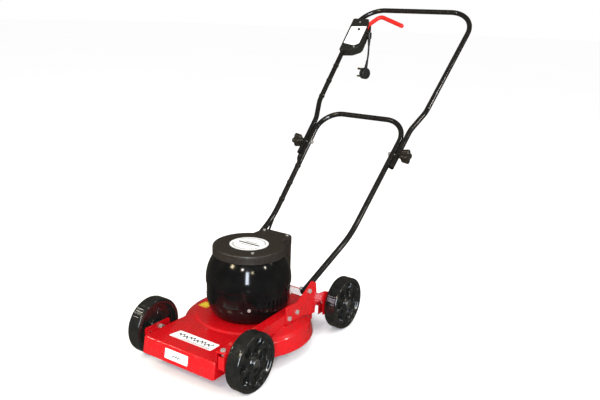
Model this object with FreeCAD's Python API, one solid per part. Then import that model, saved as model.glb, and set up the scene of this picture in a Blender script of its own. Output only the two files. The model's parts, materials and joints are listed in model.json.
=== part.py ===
import FreeCAD, Part
import math
import os

# Electric rotary lawn mower with a bolted steel deck and a two-stage folding handle.
# Millimetres. The ground is z = 0, +Z is up, the mower drives towards -Y and +X is its
# left-hand side. Everything is laid out around the vertical motor axis and is moved along
# Y at the end, so that the origin lies on the ground under the middle of the whole mower.

V = FreeCAD.Vector
UP = V(0, 0, 1)
SIDE = V(1, 0, 0)

# ---- driving dimensions ----
WHEEL_RADIUS = 85.0
WHEEL_WIDTH = 44.0
TRACK_OUTSIDE = 413.0
FRONT_AXLE_Y = -223.0
REAR_AXLE_Y = 270.0
AXLE_RADIUS = 6.35
AXLE_NUT = 9.0
HUB_RADIUS = 19.0
HUB_SINK = 6.0
WHEEL_SPOKES = 6
LABEL = 0.4
SHEET = 2.5

DECK_TOP = 105.0
DRUM_RADIUS = 203.0
DRUM_BOTTOM = 42.0
DRUM_BEND = 82.0
DRUM_FLAT_RADIUS = 168.0
DRUM_STEP = 7.0
BOX_TOP = 100.5
BOX_EDGE = 6.0
BOX_HALF_WIDTH = 133.0
BOX_BOTTOM = 51.5
FRONT_FACE_Y = -319.0
REAR_FACE_Y = 262.0
BOX_LEAN = 8.0
ARCH_Y = 182.0
ARCH_HALF = 20.0
ARCH_TOP = 96.0
ARCH_AHEAD = 27.0
ARCH_RIM = 121.0
SHAFT_HOLE_RADIUS = 30.0

RAIL_OUTSIDE = 157.0
RAIL_WIDTH = 30.0
PLATE = 3.0
RAIL_FRONT_Y = {"left": -300.0, "right": 14.0}
RAIL_REAR_Y = 68.0
RAIL_FRONT_TOP = {"left": 129.0, "right": 139.0}
RAIL_REAR_TOP = 143.0
RAIL_FOOT_BOLT_Y = {"left": -50.0, "right": 30.0}
PLATE_BOLTS = {"left": ((-9.0, 124.0), (31.0, 131.0)), "right": ((30.0, 124.0), (54.0, 131.0))}
PLATE_FRONT_Y = {"left": -24.0, "right": 14.0}
RAIL_TOP_BOLT_Y = -288.0
BRACKET_FRONT_Y = {"left": -306.0, "right": -282.0}
BRACKET_TOP = {"left": 127.0, "right": 102.0}
BRACKET_LOW = 58.0
BRACKET_CUT = (34.0, 24.0)
BRACKET_FLANGE = 20.0
STRUT_BOLT_Y = (-264.0, 218.0)
STRUT_BOLT_Z = 90.0
EAR_GAP = 3.4

COWL_BASE_RADIUS = 108.0
COWL_SKIRT_RADIUS = 128.5
COWL_BULGE_RADIUS = 131.0
COWL_TOP_RADIUS = 105.0
COWL_TOP = 294.0
COWL_WALL = 2.5
LID_RADIUS = 111.0
LID_HEIGHT = 27.5
DUCT_HALF_WIDTH = 59.0
DUCT_BACK_Y = 157.0
DUCT_LOW = 106.0
COWL_STEP_Z = 204.0
VENT_COUNT = 8
VENT_FIRST = -38.0
VENT_PITCH = 7.0
VENT_WIDTH = 4.5
VENT_LOW = 148.0
VENT_HIGH = 182.0
LID_SCREW_CIRCLE = 86.0
BADGE_RADIUS = 59.0

SHAFT_RADIUS = 7.5
BEARING_RADIUS = 17.5
BEARING_WIDTH = 11.0
STATOR_RADIUS = 68.0
STATOR_BORE = 40.0
STATOR_BASE = 150.0
STATOR_HEIGHT = 60.0
STATOR_SLOTS = 24
END_WINDING = 12.0
MOTOR_BOLT_CIRCLE = 83.0
SCREW_RADIUS = 2.5
COWL_SCREW_Z = 160.0
COWL_SCREW_ANGLE = -51.0
SCREW_PROUD = 0.6
AIR_GAP = 0.5
BLADE_LENGTH = 372.0
BLADE_Z = 52.0
BLADE_THICK = 3.5
FAN_RADIUS = 72.0
FAN_BLADES = 9
CAPACITOR_RADIUS = 16.0
CAPACITOR_OUT = 92.0
CAPACITOR_Z = 134.0

TUBE_RADIUS = 9.5
TUBE_WALL = 1.5
FOOT_BELOW_PIVOT = 14.0
PIVOT_Y = 97.0
PIVOT_Z = 177.0
LOW_SLOPE = 25.5
LEG_SLOPE = 44.3
LOW_STRAIGHT = 270.0
LOWER_LEG = 488.0
HALF_WIDTH_AT_BEND = 159.5
HALF_WIDTH_AT_BAR = 180.5
LOWER_CORNER = 85.0
BEND_RADIUS = 300.0
KNOB_ALONG = 342.0
OVERLAP_BELOW_KNOB = 56.0
JOG_START = 455.0
JOG_END = 540.0
JOG_HALF_WIDTH = 225.0
TOP_ALONG = 1041.0
TOP_HALF_WIDTH = 255.0
TOP_CORNER = 105.0
JOG_RADIUS = 110.0

BOLT_RADIUS = 4.0
KNOB_LENGTH = 35.0
KNOB_RADIUS = 27.0
KNOB_FLUTES = 4

BOX_BELOW_TOP = 62.0
BOX_END_BELOW_TOP = 238.0
BOX_INBOARD = 72.0
BOX_OUTBOARD = 13.0
BOX_FRONT = 12.0
BOX_BACK = -24.0
BOX_WALL = 2.5
LEVER_RADIUS = 8.5
LEVER_HUB = 13.0
BUTTON_RADIUS = 5.5
BUTTON_TRAVEL = 3.0
LEVER_PIVOT = (54.0, 98.0)
BUTTON_SPOT = (37.5, 125.0)
PIN_RADIUS = 2.5
CORD_EXIT_BELOW_TOP = 135.0

CORD_RADIUS = 3.75
RELIEF_LENGTH = 28.0
CORD_STEPS = ((0, 0, 0), (0, 0, -22), (-1.2, 1.0, -44), (-4.6, 2.1, -62))
BOOT_LENGTH = 33.0
PLUG_RADIUS = 23.0
PLUG_THICKNESS = 24.0
PLUG_TURN = 16.5
PIN_SPACING = 25.4
PIN_DROP = 11.5
PIN_R = 3.53
PIN_LENGTH = 18.6
EARTH_PIN_RISE = 28.6
EARTH_PIN_R = 4.36
EARTH_PIN_LENGTH = 28.6
PIN_NECK = 0.5
PIN_STAND = 0.6
GLAND_RADIUS = 8.0
LEAD_LEAVES = 55.0
LEAD_OUT = 5.0
LEAD_BACK = 12.6
LOWER_CLIPS = (75, 150, 225)
UPPER_CLIPS = (560, 640, 720)

# ---- clearances ----
RUNNING = 0.08       # radial gap of a pin or shaft that turns in a hole
APART = 0.6          # gap between pieces that move past each other

# ---- places worked out from the driving dimensions ----
AXIS_Y = -(FRONT_FACE_Y + PIVOT_Y + LOW_STRAIGHT * math.cos(math.radians(LOW_SLOPE))
           + TOP_ALONG * math.cos(math.radians(LEG_SLOPE)) + TUBE_RADIUS) / 2
WHEEL_OUT = TRACK_OUTSIDE / 2
WHEEL_IN = WHEEL_OUT - WHEEL_WIDTH
WHEEL_Y = {"front": FRONT_AXLE_Y, "rear": REAR_AXLE_Y}
SIDES = {"left": 1, "right": -1}
STATOR_TOP = STATOR_BASE + STATOR_HEIGHT
LID_TOP = COWL_TOP + LID_HEIGHT
RAIL_INSIDE = RAIL_OUTSIDE - RAIL_WIDTH
PLATE_OUT = RAIL_OUTSIDE + PLATE
PIVOT_X = RAIL_OUTSIDE - TUBE_RADIUS - EAR_GAP
LEG_DIR = V(0, math.cos(math.radians(LEG_SLOPE)), math.sin(math.radians(LEG_SLOPE)))
LEG_NORMAL = V(0, -LEG_DIR.z, LEG_DIR.y)
LOW_DIR = V(0, math.cos(math.radians(LOW_SLOPE)), math.sin(math.radians(LOW_SLOPE)))
BEND = V(0, PIVOT_Y, PIVOT_Z) + LOW_DIR * LOW_STRAIGHT
LEG_SPREAD = (HALF_WIDTH_AT_BAR - HALF_WIDTH_AT_BEND) / LOWER_LEG
GLAND_AXIS = V(-1, 0, 0)
GLAND_SEAT = V(-DUCT_HALF_WIDTH, 140, 236)
TOP_SPREAD = (TOP_HALF_WIDTH - JOG_HALF_WIDTH) / (TOP_ALONG - JOG_END)


# ---- shape helpers ----
def box(x0, x1, y0, y1, z0, z1):
    """An upright block between two values of x, of y and of z."""
    return Part.makeBox(x1 - x0, y1 - y0, z1 - z0, V(x0, y0, z0))


def rod(start, direction, radius, length):
    """A cylinder from its start point along a direction."""
    return Part.makeCylinder(radius, length, start, direction)


def ring(start, direction, outside, inside, length):
    """A cylinder with a bore right through it."""
    return rod(start, direction, outside, length).cut(rod(start, direction, inside, length))


def unite(shapes):
    """One solid from shapes that overlap or touch."""
    return shapes[0].multiFuse(shapes[1:]).removeSplitter()


def loft_profile(points, wall_axis=UP):
    """A solid turned about the vertical axis through the origin from (radius, z) points."""
    corners = [V(r, 0, z) for r, z in points]
    face = Part.Face(Part.makePolygon(corners + corners[:1]))
    return face.revolve(V(0, 0, 0), wall_axis, 360)


def rounded_wire(points, radii, closed=False):
    """Straight runs joined by tangent arcs: radii[i] rounds points[i], 0 leaves it sharp."""
    count = len(points)
    entries, exits, arcs = {}, {}, {}
    for i, point in enumerate(points):
        inner = closed or 0 < i < count - 1
        if not inner or radii[i] == 0:
            entries[i] = exits[i] = point
            continue
        before = (points[i - 1] - point).normalize()
        after = (points[(i + 1) % count] - point).normalize()
        half_turn = (math.pi - before.getAngle(after)) / 2
        reach = radii[i] * math.tan(half_turn)
        entries[i], exits[i] = point + before * reach, point + after * reach
        middle = (before + after).normalize()
        crown = point + middle * (radii[i] / math.cos(half_turn) - radii[i])
        arcs[i] = Part.Arc(entries[i], crown, exits[i]).toShape()
    edges = []
    for i in range(count if closed else count - 1):
        if i in arcs:
            edges.append(arcs[i])
        follower = (i + 1) % count
        if (entries[follower] - exits[i]).Length > 1e-6:
            edges.append(Part.LineSegment(exits[i], entries[follower]).toShape())
    return Part.Wire(edges)


def prism(points, radii, sweep):
    """A flat outline with rounded corners, carried along the sweep vector."""
    return Part.Face(rounded_wire(points, radii, closed=True)).extrude(sweep)


def bar_along(points, radii, radius):
    """A round bar that follows straight runs and tangent arcs."""
    path = rounded_wire(points, radii)
    section = Part.Wire(Part.Circle(points[0], points[1] - points[0], radius).toShape())
    return Part.Solid(path.makePipeShell([section], True, False))


def tube_along(points, radii, radius, wall):
    """A round tube that follows straight runs and tangent arcs."""
    return bar_along(points, radii, radius).cut(bar_along(points, radii, radius - wall))


def mirrored(shape):
    """The same shape on the other side of the mower."""
    return shape.mirror(V(0, 0, 0), SIDE)


def both_sides(shape):
    """The shape and its mirror image as a group of separate solids."""
    return Part.makeCompound([shape, mirrored(shape)])


def hex_head(start, direction, across, height):
    """A hexagonal head or nut from the centre of its seat."""
    flat = Part.makePolygon([V(across / math.sqrt(3) * math.cos(math.radians(60 * k)),
                               across / math.sqrt(3) * math.sin(math.radians(60 * k)), 0)
                             for k in range(7)])
    head = Part.Face(flat).extrude(V(0, 0, height))
    head.Placement = FreeCAD.Placement(start, FreeCAD.Rotation(UP, direction))
    return head


# ---- deck ----
def drum_form(inset, drop):
    """The round part of the deck: a skirt, a rounded shoulder and a flat raised top."""
    low, top, flat = DRUM_BOTTOM - drop, DECK_TOP - inset, DRUM_FLAT_RADIUS - inset
    points = [(0, low), (DRUM_RADIUS - inset, low), (DRUM_RADIUS - 8 - inset, DRUM_BEND),
              (flat + 16, DRUM_BEND + 10), (flat, top - 5), (flat - DRUM_STEP, top), (0, top)]
    radii = [0, 0, 10 - inset, 6 + inset, 10 + inset, 8 - inset, 0]
    outline = rounded_wire([V(r, 0, z) for r, z in points], radii, closed=True)
    return Part.Face(outline).revolve(V(0, 0, 0), UP, 360)


def box_form(face_y, inset, drop):
    """The box in front of or behind the drum, with a leaning face and rounded edges."""
    out = math.copysign(1, face_y)
    half = BOX_HALF_WIDTH - inset
    face = face_y - out * inset
    low, top = BOX_BOTTOM - drop, BOX_TOP - inset
    lean = out * BOX_LEAN
    profile = [V(-half, 0, low), V(-half, face, low), V(-half, face - lean, top), V(-half, 0, top)]
    block = prism(profile, [0, 0, BOX_EDGE - inset, 0], SIDE * (2 * half))
    corners = [e for e in block.Edges if abs(abs(e.CenterOfMass.x) - half) < 0.01
               and abs(e.CenterOfMass.y) > 1 and e.CenterOfMass.z > low + 1]
    return block.makeFillet(BOX_EDGE - inset, corners)


def deck_shell():
    """Pressed steel deck, open below, with an arch in the left rear wall for the cuttings."""
    faces = (FRONT_FACE_Y, REAR_FACE_Y)
    drum = drum_form(0, 0)
    outer = unite([drum] + [box_form(y, 0, 0) for y in faces])
    hollows = [drum_form(SHEET, 5)]
    hollows += [box_form(y, SHEET, 5).cut(drum_form(0, 5)) for y in faces]
    shell = outer
    for hollow in hollows:
        shell = shell.cut(hollow)
    side = BOX_HALF_WIDTH - 15
    arch = prism([V(side, ARCH_Y - ARCH_HALF, 20), V(side, ARCH_Y + ARCH_HALF, 20),
                  V(side, ARCH_Y + ARCH_HALF, ARCH_TOP), V(side, ARCH_Y - ARCH_HALF, ARCH_TOP)],
                 [0, 0, ARCH_HALF * 0.95, ARCH_HALF * 0.95], SIDE * 30)
    chute = box(20, 110, DRUM_RADIUS - 70, DRUM_RADIUS + 10, DRUM_BOTTOM - 1, DECK_TOP - 12)
    holes = [rod(V(0, 0, DECK_TOP - 10), UP, SHAFT_HOLE_RADIUS, 20)]
    holes += [rod(spot - UP * 10, UP, BOLT_RADIUS, 20) for spot in motor_bolt_spots()]
    for side, sign in SIDES.items():
        middle = sign * (RAIL_OUTSIDE - RAIL_WIDTH / 2)
        holes.append(rod(V(middle, RAIL_FOOT_BOLT_Y[side], DECK_TOP - 10), UP, BOLT_RADIUS, 20))
        holes += [rod(V(sign * (BOX_HALF_WIDTH - 8), y, STRUT_BOLT_Z), SIDE * sign, BOLT_RADIUS, 16)
                  for y in STRUT_BOLT_Y]
    return shell.cut(Part.makeCompound([arch, chute] + holes))


def motor_bolt_spots():
    """The four motor bolts on the deck's flat top."""
    return [V(MOTOR_BOLT_CIRCLE * math.cos(math.radians(45 + 90 * k)),
              MOTOR_BOLT_CIRCLE * math.sin(math.radians(45 + 90 * k)), DECK_TOP) for k in range(4)]


def deck_labels():
    """White stickers on the front's top and face, and the rating sticker at the back."""
    top = prism([V(-78, -267, BOX_TOP), V(78, -267, BOX_TOP), V(78, -226, BOX_TOP),
                 V(-70, -226, BOX_TOP)], [3] * 4, UP * LABEL)
    low, high = 62.0, 90.0
    shift = BOX_LEAN / (BOX_TOP - BOX_BOTTOM)
    front = [V(x, FRONT_FACE_Y + (z - BOX_BOTTOM) * shift, z)
             for x, z in ((-46, low), (39, low), (39, high), (-46, high))]
    face = prism(front, [2] * 4, V(0, -LABEL, LABEL * shift))
    rating = prism([V(-14, 196, BOX_TOP), V(66, 196, BOX_TOP), V(66, 242, BOX_TOP),
                    V(-14, 242, BOX_TOP)], [3] * 4, UP * LABEL)
    return Part.makeCompound([top, face, rating])


def caution_label():
    """Yellow sticker on the deck's right shoulder."""
    return prism([V(-143, -72, DECK_TOP), V(-109, -72, DECK_TOP), V(-109, -38, DECK_TOP),
                  V(-143, -38, DECK_TOP)], [4] * 4, UP * LABEL)


# ---- chassis: rails, brackets and plates, shaped on the left and mirrored for the right ----
def on_side(shape, side):
    """A left-hand shape, mirrored if it belongs on the right."""
    return shape if SIDES[side] > 0 else mirrored(shape)


def side_rail(side):
    """Folded channel on the deck: full length on the left, a short seat on the right."""
    x0, x1 = RAIL_INSIDE, RAIL_OUTSIDE
    front, rear = RAIL_FRONT_Y[side], RAIL_REAR_Y
    outline = [V(x0, front, BOX_TOP), V(x0, rear, BOX_TOP), V(x0, rear, RAIL_REAR_TOP),
               V(x0, front, RAIL_FRONT_TOP[side])]
    solid = prism(outline, [0, 0, 8, 5], SIDE * RAIL_WIDTH)
    hollow = [V(x0 + SHEET, front - 5, BOX_TOP - 1), V(x0 + SHEET, rear + 5, BOX_TOP - 1),
              V(x0 + SHEET, rear + 5, RAIL_REAR_TOP - SHEET),
              V(x0 + SHEET, front - 5, RAIL_FRONT_TOP[side] - SHEET)]
    room = prism(hollow, [0] * 4, SIDE * (RAIL_WIDTH - 2 * SHEET))
    foot_y = RAIL_FOOT_BOLT_Y[side]
    foot = box(x0, x1, foot_y - 14, foot_y + 14, DECK_TOP, DECK_TOP + SHEET)
    middle = (x0 + x1) / 2
    holes = [rod(V(middle, foot_y, DECK_TOP - 1), UP, BOLT_RADIUS, 10),
             rod(V(middle, RAIL_TOP_BOLT_Y, DECK_TOP), UP, BOLT_RADIUS, 60)]
    holes += [rod(V(x1 - 10, y, z), SIDE, BOLT_RADIUS, 20) for y, z in PLATE_BOLTS[side]]
    rail = unite([solid.cut(room), foot]).cut(Part.makeCompound(holes + [drum_form(0, 0)]))
    return on_side(rail, side)


def front_bracket(side):
    """Vertical plate that carries the front wheel, with a flange folded in at its front."""
    x0, top, front, rear = RAIL_OUTSIDE, BRACKET_TOP[side], BRACKET_FRONT_Y[side], FRONT_AXLE_Y + 40
    corner = BRACKET_LOW + BRACKET_CUT[1]
    outline = [V(x0, front, corner), V(x0, front + BRACKET_CUT[0], BRACKET_LOW), V(x0, rear, BRACKET_LOW),
               V(x0, rear, top), V(x0, front, top)]
    plate = prism(outline, [3, 12, 12, 8, 6], SIDE * PLATE)
    flange = box(x0 + PLATE - BRACKET_FLANGE, x0 + PLATE, front, front + PLATE, corner + 2, top - 6)
    holes = [rod(V(x0 - 1, FRONT_AXLE_Y, WHEEL_RADIUS), SIDE, AXLE_RADIUS, PLATE + 2),
             rod(V(x0 - 1, STRUT_BOLT_Y[0], STRUT_BOLT_Z), SIDE, BOLT_RADIUS, PLATE + 2)]
    return on_side(unite([plate, flange]).cut(Part.makeCompound(holes)), side)


def rear_plate(side):
    """Rear side plate with the triangular ear for the handle, and the rear wheel's arm."""
    x0, front, tail = RAIL_OUTSIDE, PLATE_FRONT_Y[side], REAR_AXLE_Y + 20
    arch_front, arch_back = ARCH_Y - ARCH_HALF - ARCH_AHEAD, ARCH_Y + ARCH_HALF - ARCH_AHEAD + 10
    outline = [V(x0, front, DECK_TOP + 2), V(x0, 62, DECK_TOP + 2), V(x0, 96, 97),
               V(x0, arch_front, 91), V(x0, arch_front, ARCH_RIM), V(x0, arch_back, ARCH_RIM),
               V(x0, arch_back, 63), V(x0, tail - 28, 62), V(x0, tail, 72), V(x0, tail, 98),
               V(x0, 196, 143), V(x0, 142, 150), V(x0, 136, 192), V(x0, 112, 205), V(x0, 58, 172),
               V(x0, 36, 160), V(x0, front, 164)]
    radii = [3, 12, 12, 2, 18, 22, 4, 15, 12, 14, 20, 4, 8, 12, 25, 12, 5]
    plate = prism(outline, radii, SIDE * PLATE)
    holes = [rod(V(x0 - 1, PIVOT_Y, PIVOT_Z), SIDE, BOLT_RADIUS, PLATE + 2),
             rod(V(x0 - 1, REAR_AXLE_Y, WHEEL_RADIUS), SIDE, AXLE_RADIUS, PLATE + 2),
             rod(V(x0 - 1, STRUT_BOLT_Y[1], STRUT_BOLT_Z), SIDE, BOLT_RADIUS, PLATE + 2)]
    holes += [rod(V(x0 - 1, y, z), SIDE, BOLT_RADIUS, PLATE + 2) for y, z in PLATE_BOLTS[side]]
    return on_side(plate.cut(Part.makeCompound(holes)), side)


def frame_struts():
    """Four folded stays between the deck's boxes and the wheel plates."""
    x0, x1 = BOX_HALF_WIDTH, RAIL_OUTSIDE
    stays = []
    for y in STRUT_BOLT_Y:
        z0, z1 = STRUT_BOLT_Z - 10, STRUT_BOLT_Z + 10
        stay = box(x0, x1, y - 14, y + 14, z0, z1)
        inner = box(x0 + SHEET, x1 - SHEET, y - 15, y + 15, z0 - 1, z1 - SHEET)
        hole = rod(V(x0 - 1, y, STRUT_BOLT_Z), SIDE, BOLT_RADIUS, 60)
        stays.append(stay.cut(Part.makeCompound([inner, hole])))
    return both_sides(Part.makeCompound(stays))


def bolt(seat, direction, length, across=13.0, height=5.3):
    """A hexagon bolt: the head stands out of its seat, the shank goes the other way."""
    return unite([hex_head(seat, direction, across, height), rod(seat, -direction, BOLT_RADIUS, length)])


def chassis_bolts():
    """Zinc bolts of one size, for the rails, brackets and plates and up into the motor's flange."""
    spots = []
    for side in SIDES:
        middle = RAIL_OUTSIDE - RAIL_WIDTH / 2
        group = [bolt(V(middle, RAIL_FOOT_BOLT_Y[side], DECK_TOP + SHEET), UP, 12)]
        group += [bolt(V(PLATE_OUT, y, z), SIDE, 12) for y, z in PLATE_BOLTS[side]]
        group += [bolt(V(PLATE_OUT, y, STRUT_BOLT_Z), SIDE, PLATE_OUT - BOX_HALF_WIDTH + 8)
                  for y in STRUT_BOLT_Y]
        if side == "left":
            group.append(bolt(V(middle, RAIL_TOP_BOLT_Y, rail_top_at(RAIL_TOP_BOLT_Y + 8)), UP, 14))
        spots += [on_side(piece, side) for piece in group]
    spots += [bolt(spot - UP * SHEET, -UP, 14) for spot in motor_bolt_spots()]
    return Part.makeCompound(spots)


def rail_top_at(y):
    """Height of the left rail's top at a place along it."""
    front, rise = RAIL_FRONT_Y["left"], RAIL_REAR_TOP - RAIL_FRONT_TOP["left"]
    return RAIL_FRONT_TOP["left"] + rise * (y - front) / (RAIL_REAR_Y - front)


def axle_bolts():
    """Four stub axles: a wide head outside the wheel hub and a nut thread behind the plate."""
    stubs = []
    for y in WHEEL_Y.values():
        start = RAIL_OUTSIDE - AXLE_NUT - 3
        stub = rod(V(start, y, WHEEL_RADIUS), SIDE, AXLE_RADIUS, WHEEL_OUT - HUB_SINK + APART - start)
        head = rod(V(WHEEL_OUT - HUB_SINK + APART, y, WHEEL_RADIUS), SIDE, 12, 5)
        stubs += [unite([stub, head.makeFillet(2.0, [head.Edges[0]])])]
    return both_sides(Part.makeCompound(stubs))


def axle_nuts():
    """Nuts behind the plates, and the collar that spaces each hub from its plate."""
    nuts = []
    for y in WHEEL_Y.values():
        nut = hex_head(V(RAIL_OUTSIDE, y, WHEEL_RADIUS), -SIDE, 19, AXLE_NUT)
        collar = rod(V(PLATE_OUT, y, WHEEL_RADIUS), SIDE, 11, WHEEL_IN - APART - PLATE_OUT)
        bore = rod(V(RAIL_OUTSIDE - 20, y, WHEEL_RADIUS), SIDE, AXLE_RADIUS, 60)
        nuts += [nut.cut(bore), collar.cut(bore)]
    return both_sides(Part.makeCompound(nuts))


def wheel(end, side):
    """One-piece wheel: a ribbed tread, a dished face with spokes and a long hub."""
    r, w = WHEEL_RADIUS, WHEEL_WIDTH
    half = [(AXLE_RADIUS + RUNNING, 0), (HUB_RADIUS, 0), (HUB_RADIUS, 14), (r - 16, 14), (r - 14, 0),
            (r - 4, 0), (r - 1.2, 2), (r, 6), (r, w - 7), (r - 1.5, w - 3), (r - 5, w),
            (r - 13, w), (r - 16, w - 7), (62, w - 13), (34, w - 20), (25, w - HUB_SINK - 6),
            (HUB_RADIUS, w - HUB_SINK - 1), (HUB_RADIUS - 2, w - HUB_SINK),
            (AXLE_RADIUS + RUNNING, w - HUB_SINK)]
    body = loft_profile(half)
    arms = []
    for k in range(WHEEL_SPOKES):
        arm = box(HUB_RADIUS - 2, r - 14, -5, 5, w - 24, w - 9)
        arm.rotate(V(0, 0, 0), UP, 360 / WHEEL_SPOKES * k)
        arms.append(arm)
    pocket = prism([V(33, -11, w - 40), V(62, -22, w - 40), V(62, 22, w - 40), V(33, 11, w - 40)],
                   [4, 6, 6, 4], UP * 40)
    pockets = []
    for k in range(WHEEL_SPOKES):
        hole = pocket.copy()
        hole.rotate(V(0, 0, 0), UP, 360 / WHEEL_SPOKES * (k + 0.5))
        pockets.append(hole.common(rod(V(0, 0, 16 + 3), UP, r, 40)))
    wheel_solid = unite([body] + arms).cut(Part.makeCompound(pockets))
    wheel_solid.Placement = FreeCAD.Placement(V(WHEEL_IN, WHEEL_Y[end], r),
                                              FreeCAD.Rotation(UP, SIDE))
    return on_side(wheel_solid, side)


# ---- motor ----
def lower_shield():
    """Cast end shield: deck flange, wall round the stator, arms to the cowl, capacitor strap."""
    wall_out, wall_in = STATOR_RADIUS + 5, STATOR_RADIUS
    body = loft_profile([(SHAFT_HOLE_RADIUS - 4, DECK_TOP), (92, DECK_TOP), (92, DECK_TOP + 6),
                         (wall_out, DECK_TOP + 6), (wall_out, STATOR_BASE + 18),
                         (wall_in, STATOR_BASE + 18), (wall_in, STATOR_BASE), (wall_in - 4, STATOR_BASE),
                         (wall_in - 4, DECK_TOP + 12), (SHAFT_HOLE_RADIUS - 4, DECK_TOP + 12)])
    hub = ring(V(0, 0, DECK_TOP), UP, SHAFT_HOLE_RADIUS - 3, BEARING_RADIUS, 12 + BEARING_WIDTH / 2)
    arms = [rod(V(0, 0, COWL_SCREW_Z), V(math.cos(a), math.sin(a), 0), 6,
                COWL_SKIRT_RADIUS - COWL_WALL - 1.5) for a in cowl_screw_angles()]
    inside = rod(V(0, 0, STATOR_BASE - 20), UP, wall_in, 60)
    arms = [arm.cut(inside) for arm in arms]
    holes = [rod(spot - UP, UP, BOLT_RADIUS, 40) for spot in motor_bolt_spots()]
    holes += [rod(V(0, 0, COWL_SCREW_Z), V(math.cos(a), math.sin(a), 0), SCREW_RADIUS, 150).cut(inside)
              for a in cowl_screw_angles()]
    z = CAPACITOR_Z + 6
    can = rod(V(0, CAPACITOR_OUT, CAPACITOR_Z - 1), UP, CAPACITOR_RADIUS, 80)
    strap = unite([rod(V(0, CAPACITOR_OUT, z), UP, CAPACITOR_RADIUS + 2, 12),
                   box(-6, 6, wall_out - 1, CAPACITOR_OUT - CAPACITOR_RADIUS, z, z + 12)])
    return unite([body, hub, strap] + arms).cut(Part.makeCompound(holes + [can]))


def upper_shield():
    """Cast end shield that closes the motor's top and holds the upper bearing."""
    top = STATOR_TOP + 26
    return loft_profile([(BEARING_RADIUS, top - BEARING_WIDTH), (BEARING_RADIUS, top),
                         (BEARING_RADIUS + 6, top), (STATOR_RADIUS - 6, top - 3),
                         (STATOR_RADIUS + 4, top - 8), (STATOR_RADIUS + 4, STATOR_TOP - 12),
                         (STATOR_RADIUS, STATOR_TOP - 12), (STATOR_RADIUS, STATOR_TOP),
                         (STATOR_RADIUS - 4, STATOR_TOP), (STATOR_RADIUS - 4, top - 10),
                         (BEARING_RADIUS + 6, top - 6), (BEARING_RADIUS + 6, top - BEARING_WIDTH)])


def stator_core():
    """Laminated core with slots around its bore."""
    core = ring(V(0, 0, STATOR_BASE), UP, STATOR_RADIUS, STATOR_BORE, STATOR_HEIGHT)
    slots = []
    for k in range(STATOR_SLOTS):
        slot = box(STATOR_BORE - 2, STATOR_RADIUS - 12, -2.6, 2.6, STATOR_BASE - 1, STATOR_TOP + 1)
        slot.rotate(V(0, 0, 0), UP, 360 / STATOR_SLOTS * k)
        slots.append(slot)
    return core.cut(Part.makeCompound(slots))


def stator_windings():
    """Copper coils: a bar in every slot, joined by an end winding above and below."""
    inside, outside = STATOR_BORE + 4, STATOR_RADIUS - 14
    ends = [ring(V(0, 0, z), UP, outside, inside, END_WINDING)
            for z in (STATOR_BASE - END_WINDING, STATOR_TOP)]
    bars = []
    for k in range(STATOR_SLOTS):
        bar = box(inside, outside, -2.2, 2.2, STATOR_BASE - 1, STATOR_TOP + 1)
        bar.rotate(V(0, 0, 0), UP, 360 / STATOR_SLOTS * k)
        bars.append(bar)
    return unite(ends + bars)


def cowl_screw_angles():
    """Directions of the four screws that hold the cowl."""
    return [math.radians(COWL_SCREW_ANGLE + 90 * k) for k in range(4)]


def bearing(z):
    """A sealed ball bearing as one ring, with a running bore for the shaft."""
    return ring(V(0, 0, z), UP, BEARING_RADIUS, SHAFT_RADIUS + RUNNING, BEARING_WIDTH)


def shaft_bearings():
    """The two equal bearings in the end shields."""
    return Part.makeCompound([bearing(DECK_TOP + 12 - BEARING_WIDTH / 2),
                              bearing(STATOR_TOP + 26 - BEARING_WIDTH)])


def run_capacitor():
    """Motor capacitor standing beside the stator."""
    can = rod(V(0, CAPACITOR_OUT, CAPACITOR_Z), UP, CAPACITOR_RADIUS, 52)
    tags = [box(x - 3, x + 3, CAPACITOR_OUT - 0.5, CAPACITOR_OUT + 0.5, CAPACITOR_Z + 52,
                CAPACITOR_Z + 60) for x in (-6, 6)]
    return unite([can.makeFillet(2.0, can.Edges)] + tags)


def cowl_profile(inset):
    """Half outline of the barrel: a near-straight skirt, a small step and a bulge above it."""
    base, skirt = COWL_BASE_RADIUS - inset, COWL_SKIRT_RADIUS - inset
    bulge, top = COWL_BULGE_RADIUS - inset, COWL_TOP_RADIUS - inset
    p = [V(base, 0, DECK_TOP + APART), V(skirt - 8, 0, 126), V(skirt, 0, 168), V(skirt, 0, COWL_STEP_Z),
         V(bulge, 0, COWL_STEP_Z + 3), V(bulge - 5, 0, 252), V(top, 0, COWL_TOP)]
    edges = [Part.Arc(p[0], p[1], p[2]).toShape(), Part.LineSegment(p[2], p[3]).toShape(),
             Part.LineSegment(p[3], p[4]).toShape(), Part.Arc(p[4], p[5], p[6]).toShape()]
    axis_low, axis_high = V(0, 0, p[0].z), V(0, 0, COWL_TOP)
    edges += [Part.LineSegment(p[6], axis_high).toShape(), Part.LineSegment(axis_high, axis_low).toShape(),
              Part.LineSegment(axis_low, p[0]).toShape()]
    return Part.Face(Part.Wire(edges)).revolve(V(0, 0, 0), UP, 360)


def cowl():
    """Barrel-shaped motor cowl with a row of vent slots low on each side."""
    shell = cowl_profile(0).cut(cowl_profile(COWL_WALL))
    slots = []
    for k in range(VENT_COUNT):
        angle = VENT_FIRST + VENT_PITCH * k
        slot = prism([V(0, y, z) for y, z in ((-VENT_WIDTH / 2, VENT_LOW), (VENT_WIDTH / 2, VENT_LOW),
                                              (VENT_WIDTH / 2, VENT_HIGH), (-VENT_WIDTH / 2, VENT_HIGH))],
                     [VENT_WIDTH * 0.45] * 4, SIDE * 200)
        slot.rotate(V(0, 0, 0), UP, angle)
        slots += [slot, mirrored(slot)]
    screws = [rod(V(0, 0, COWL_SCREW_Z), V(math.cos(a), math.sin(a), 0), SCREW_RADIUS, 200)
              for a in cowl_screw_angles()]
    return shell.cut(Part.makeCompound(slots + screws))


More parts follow.
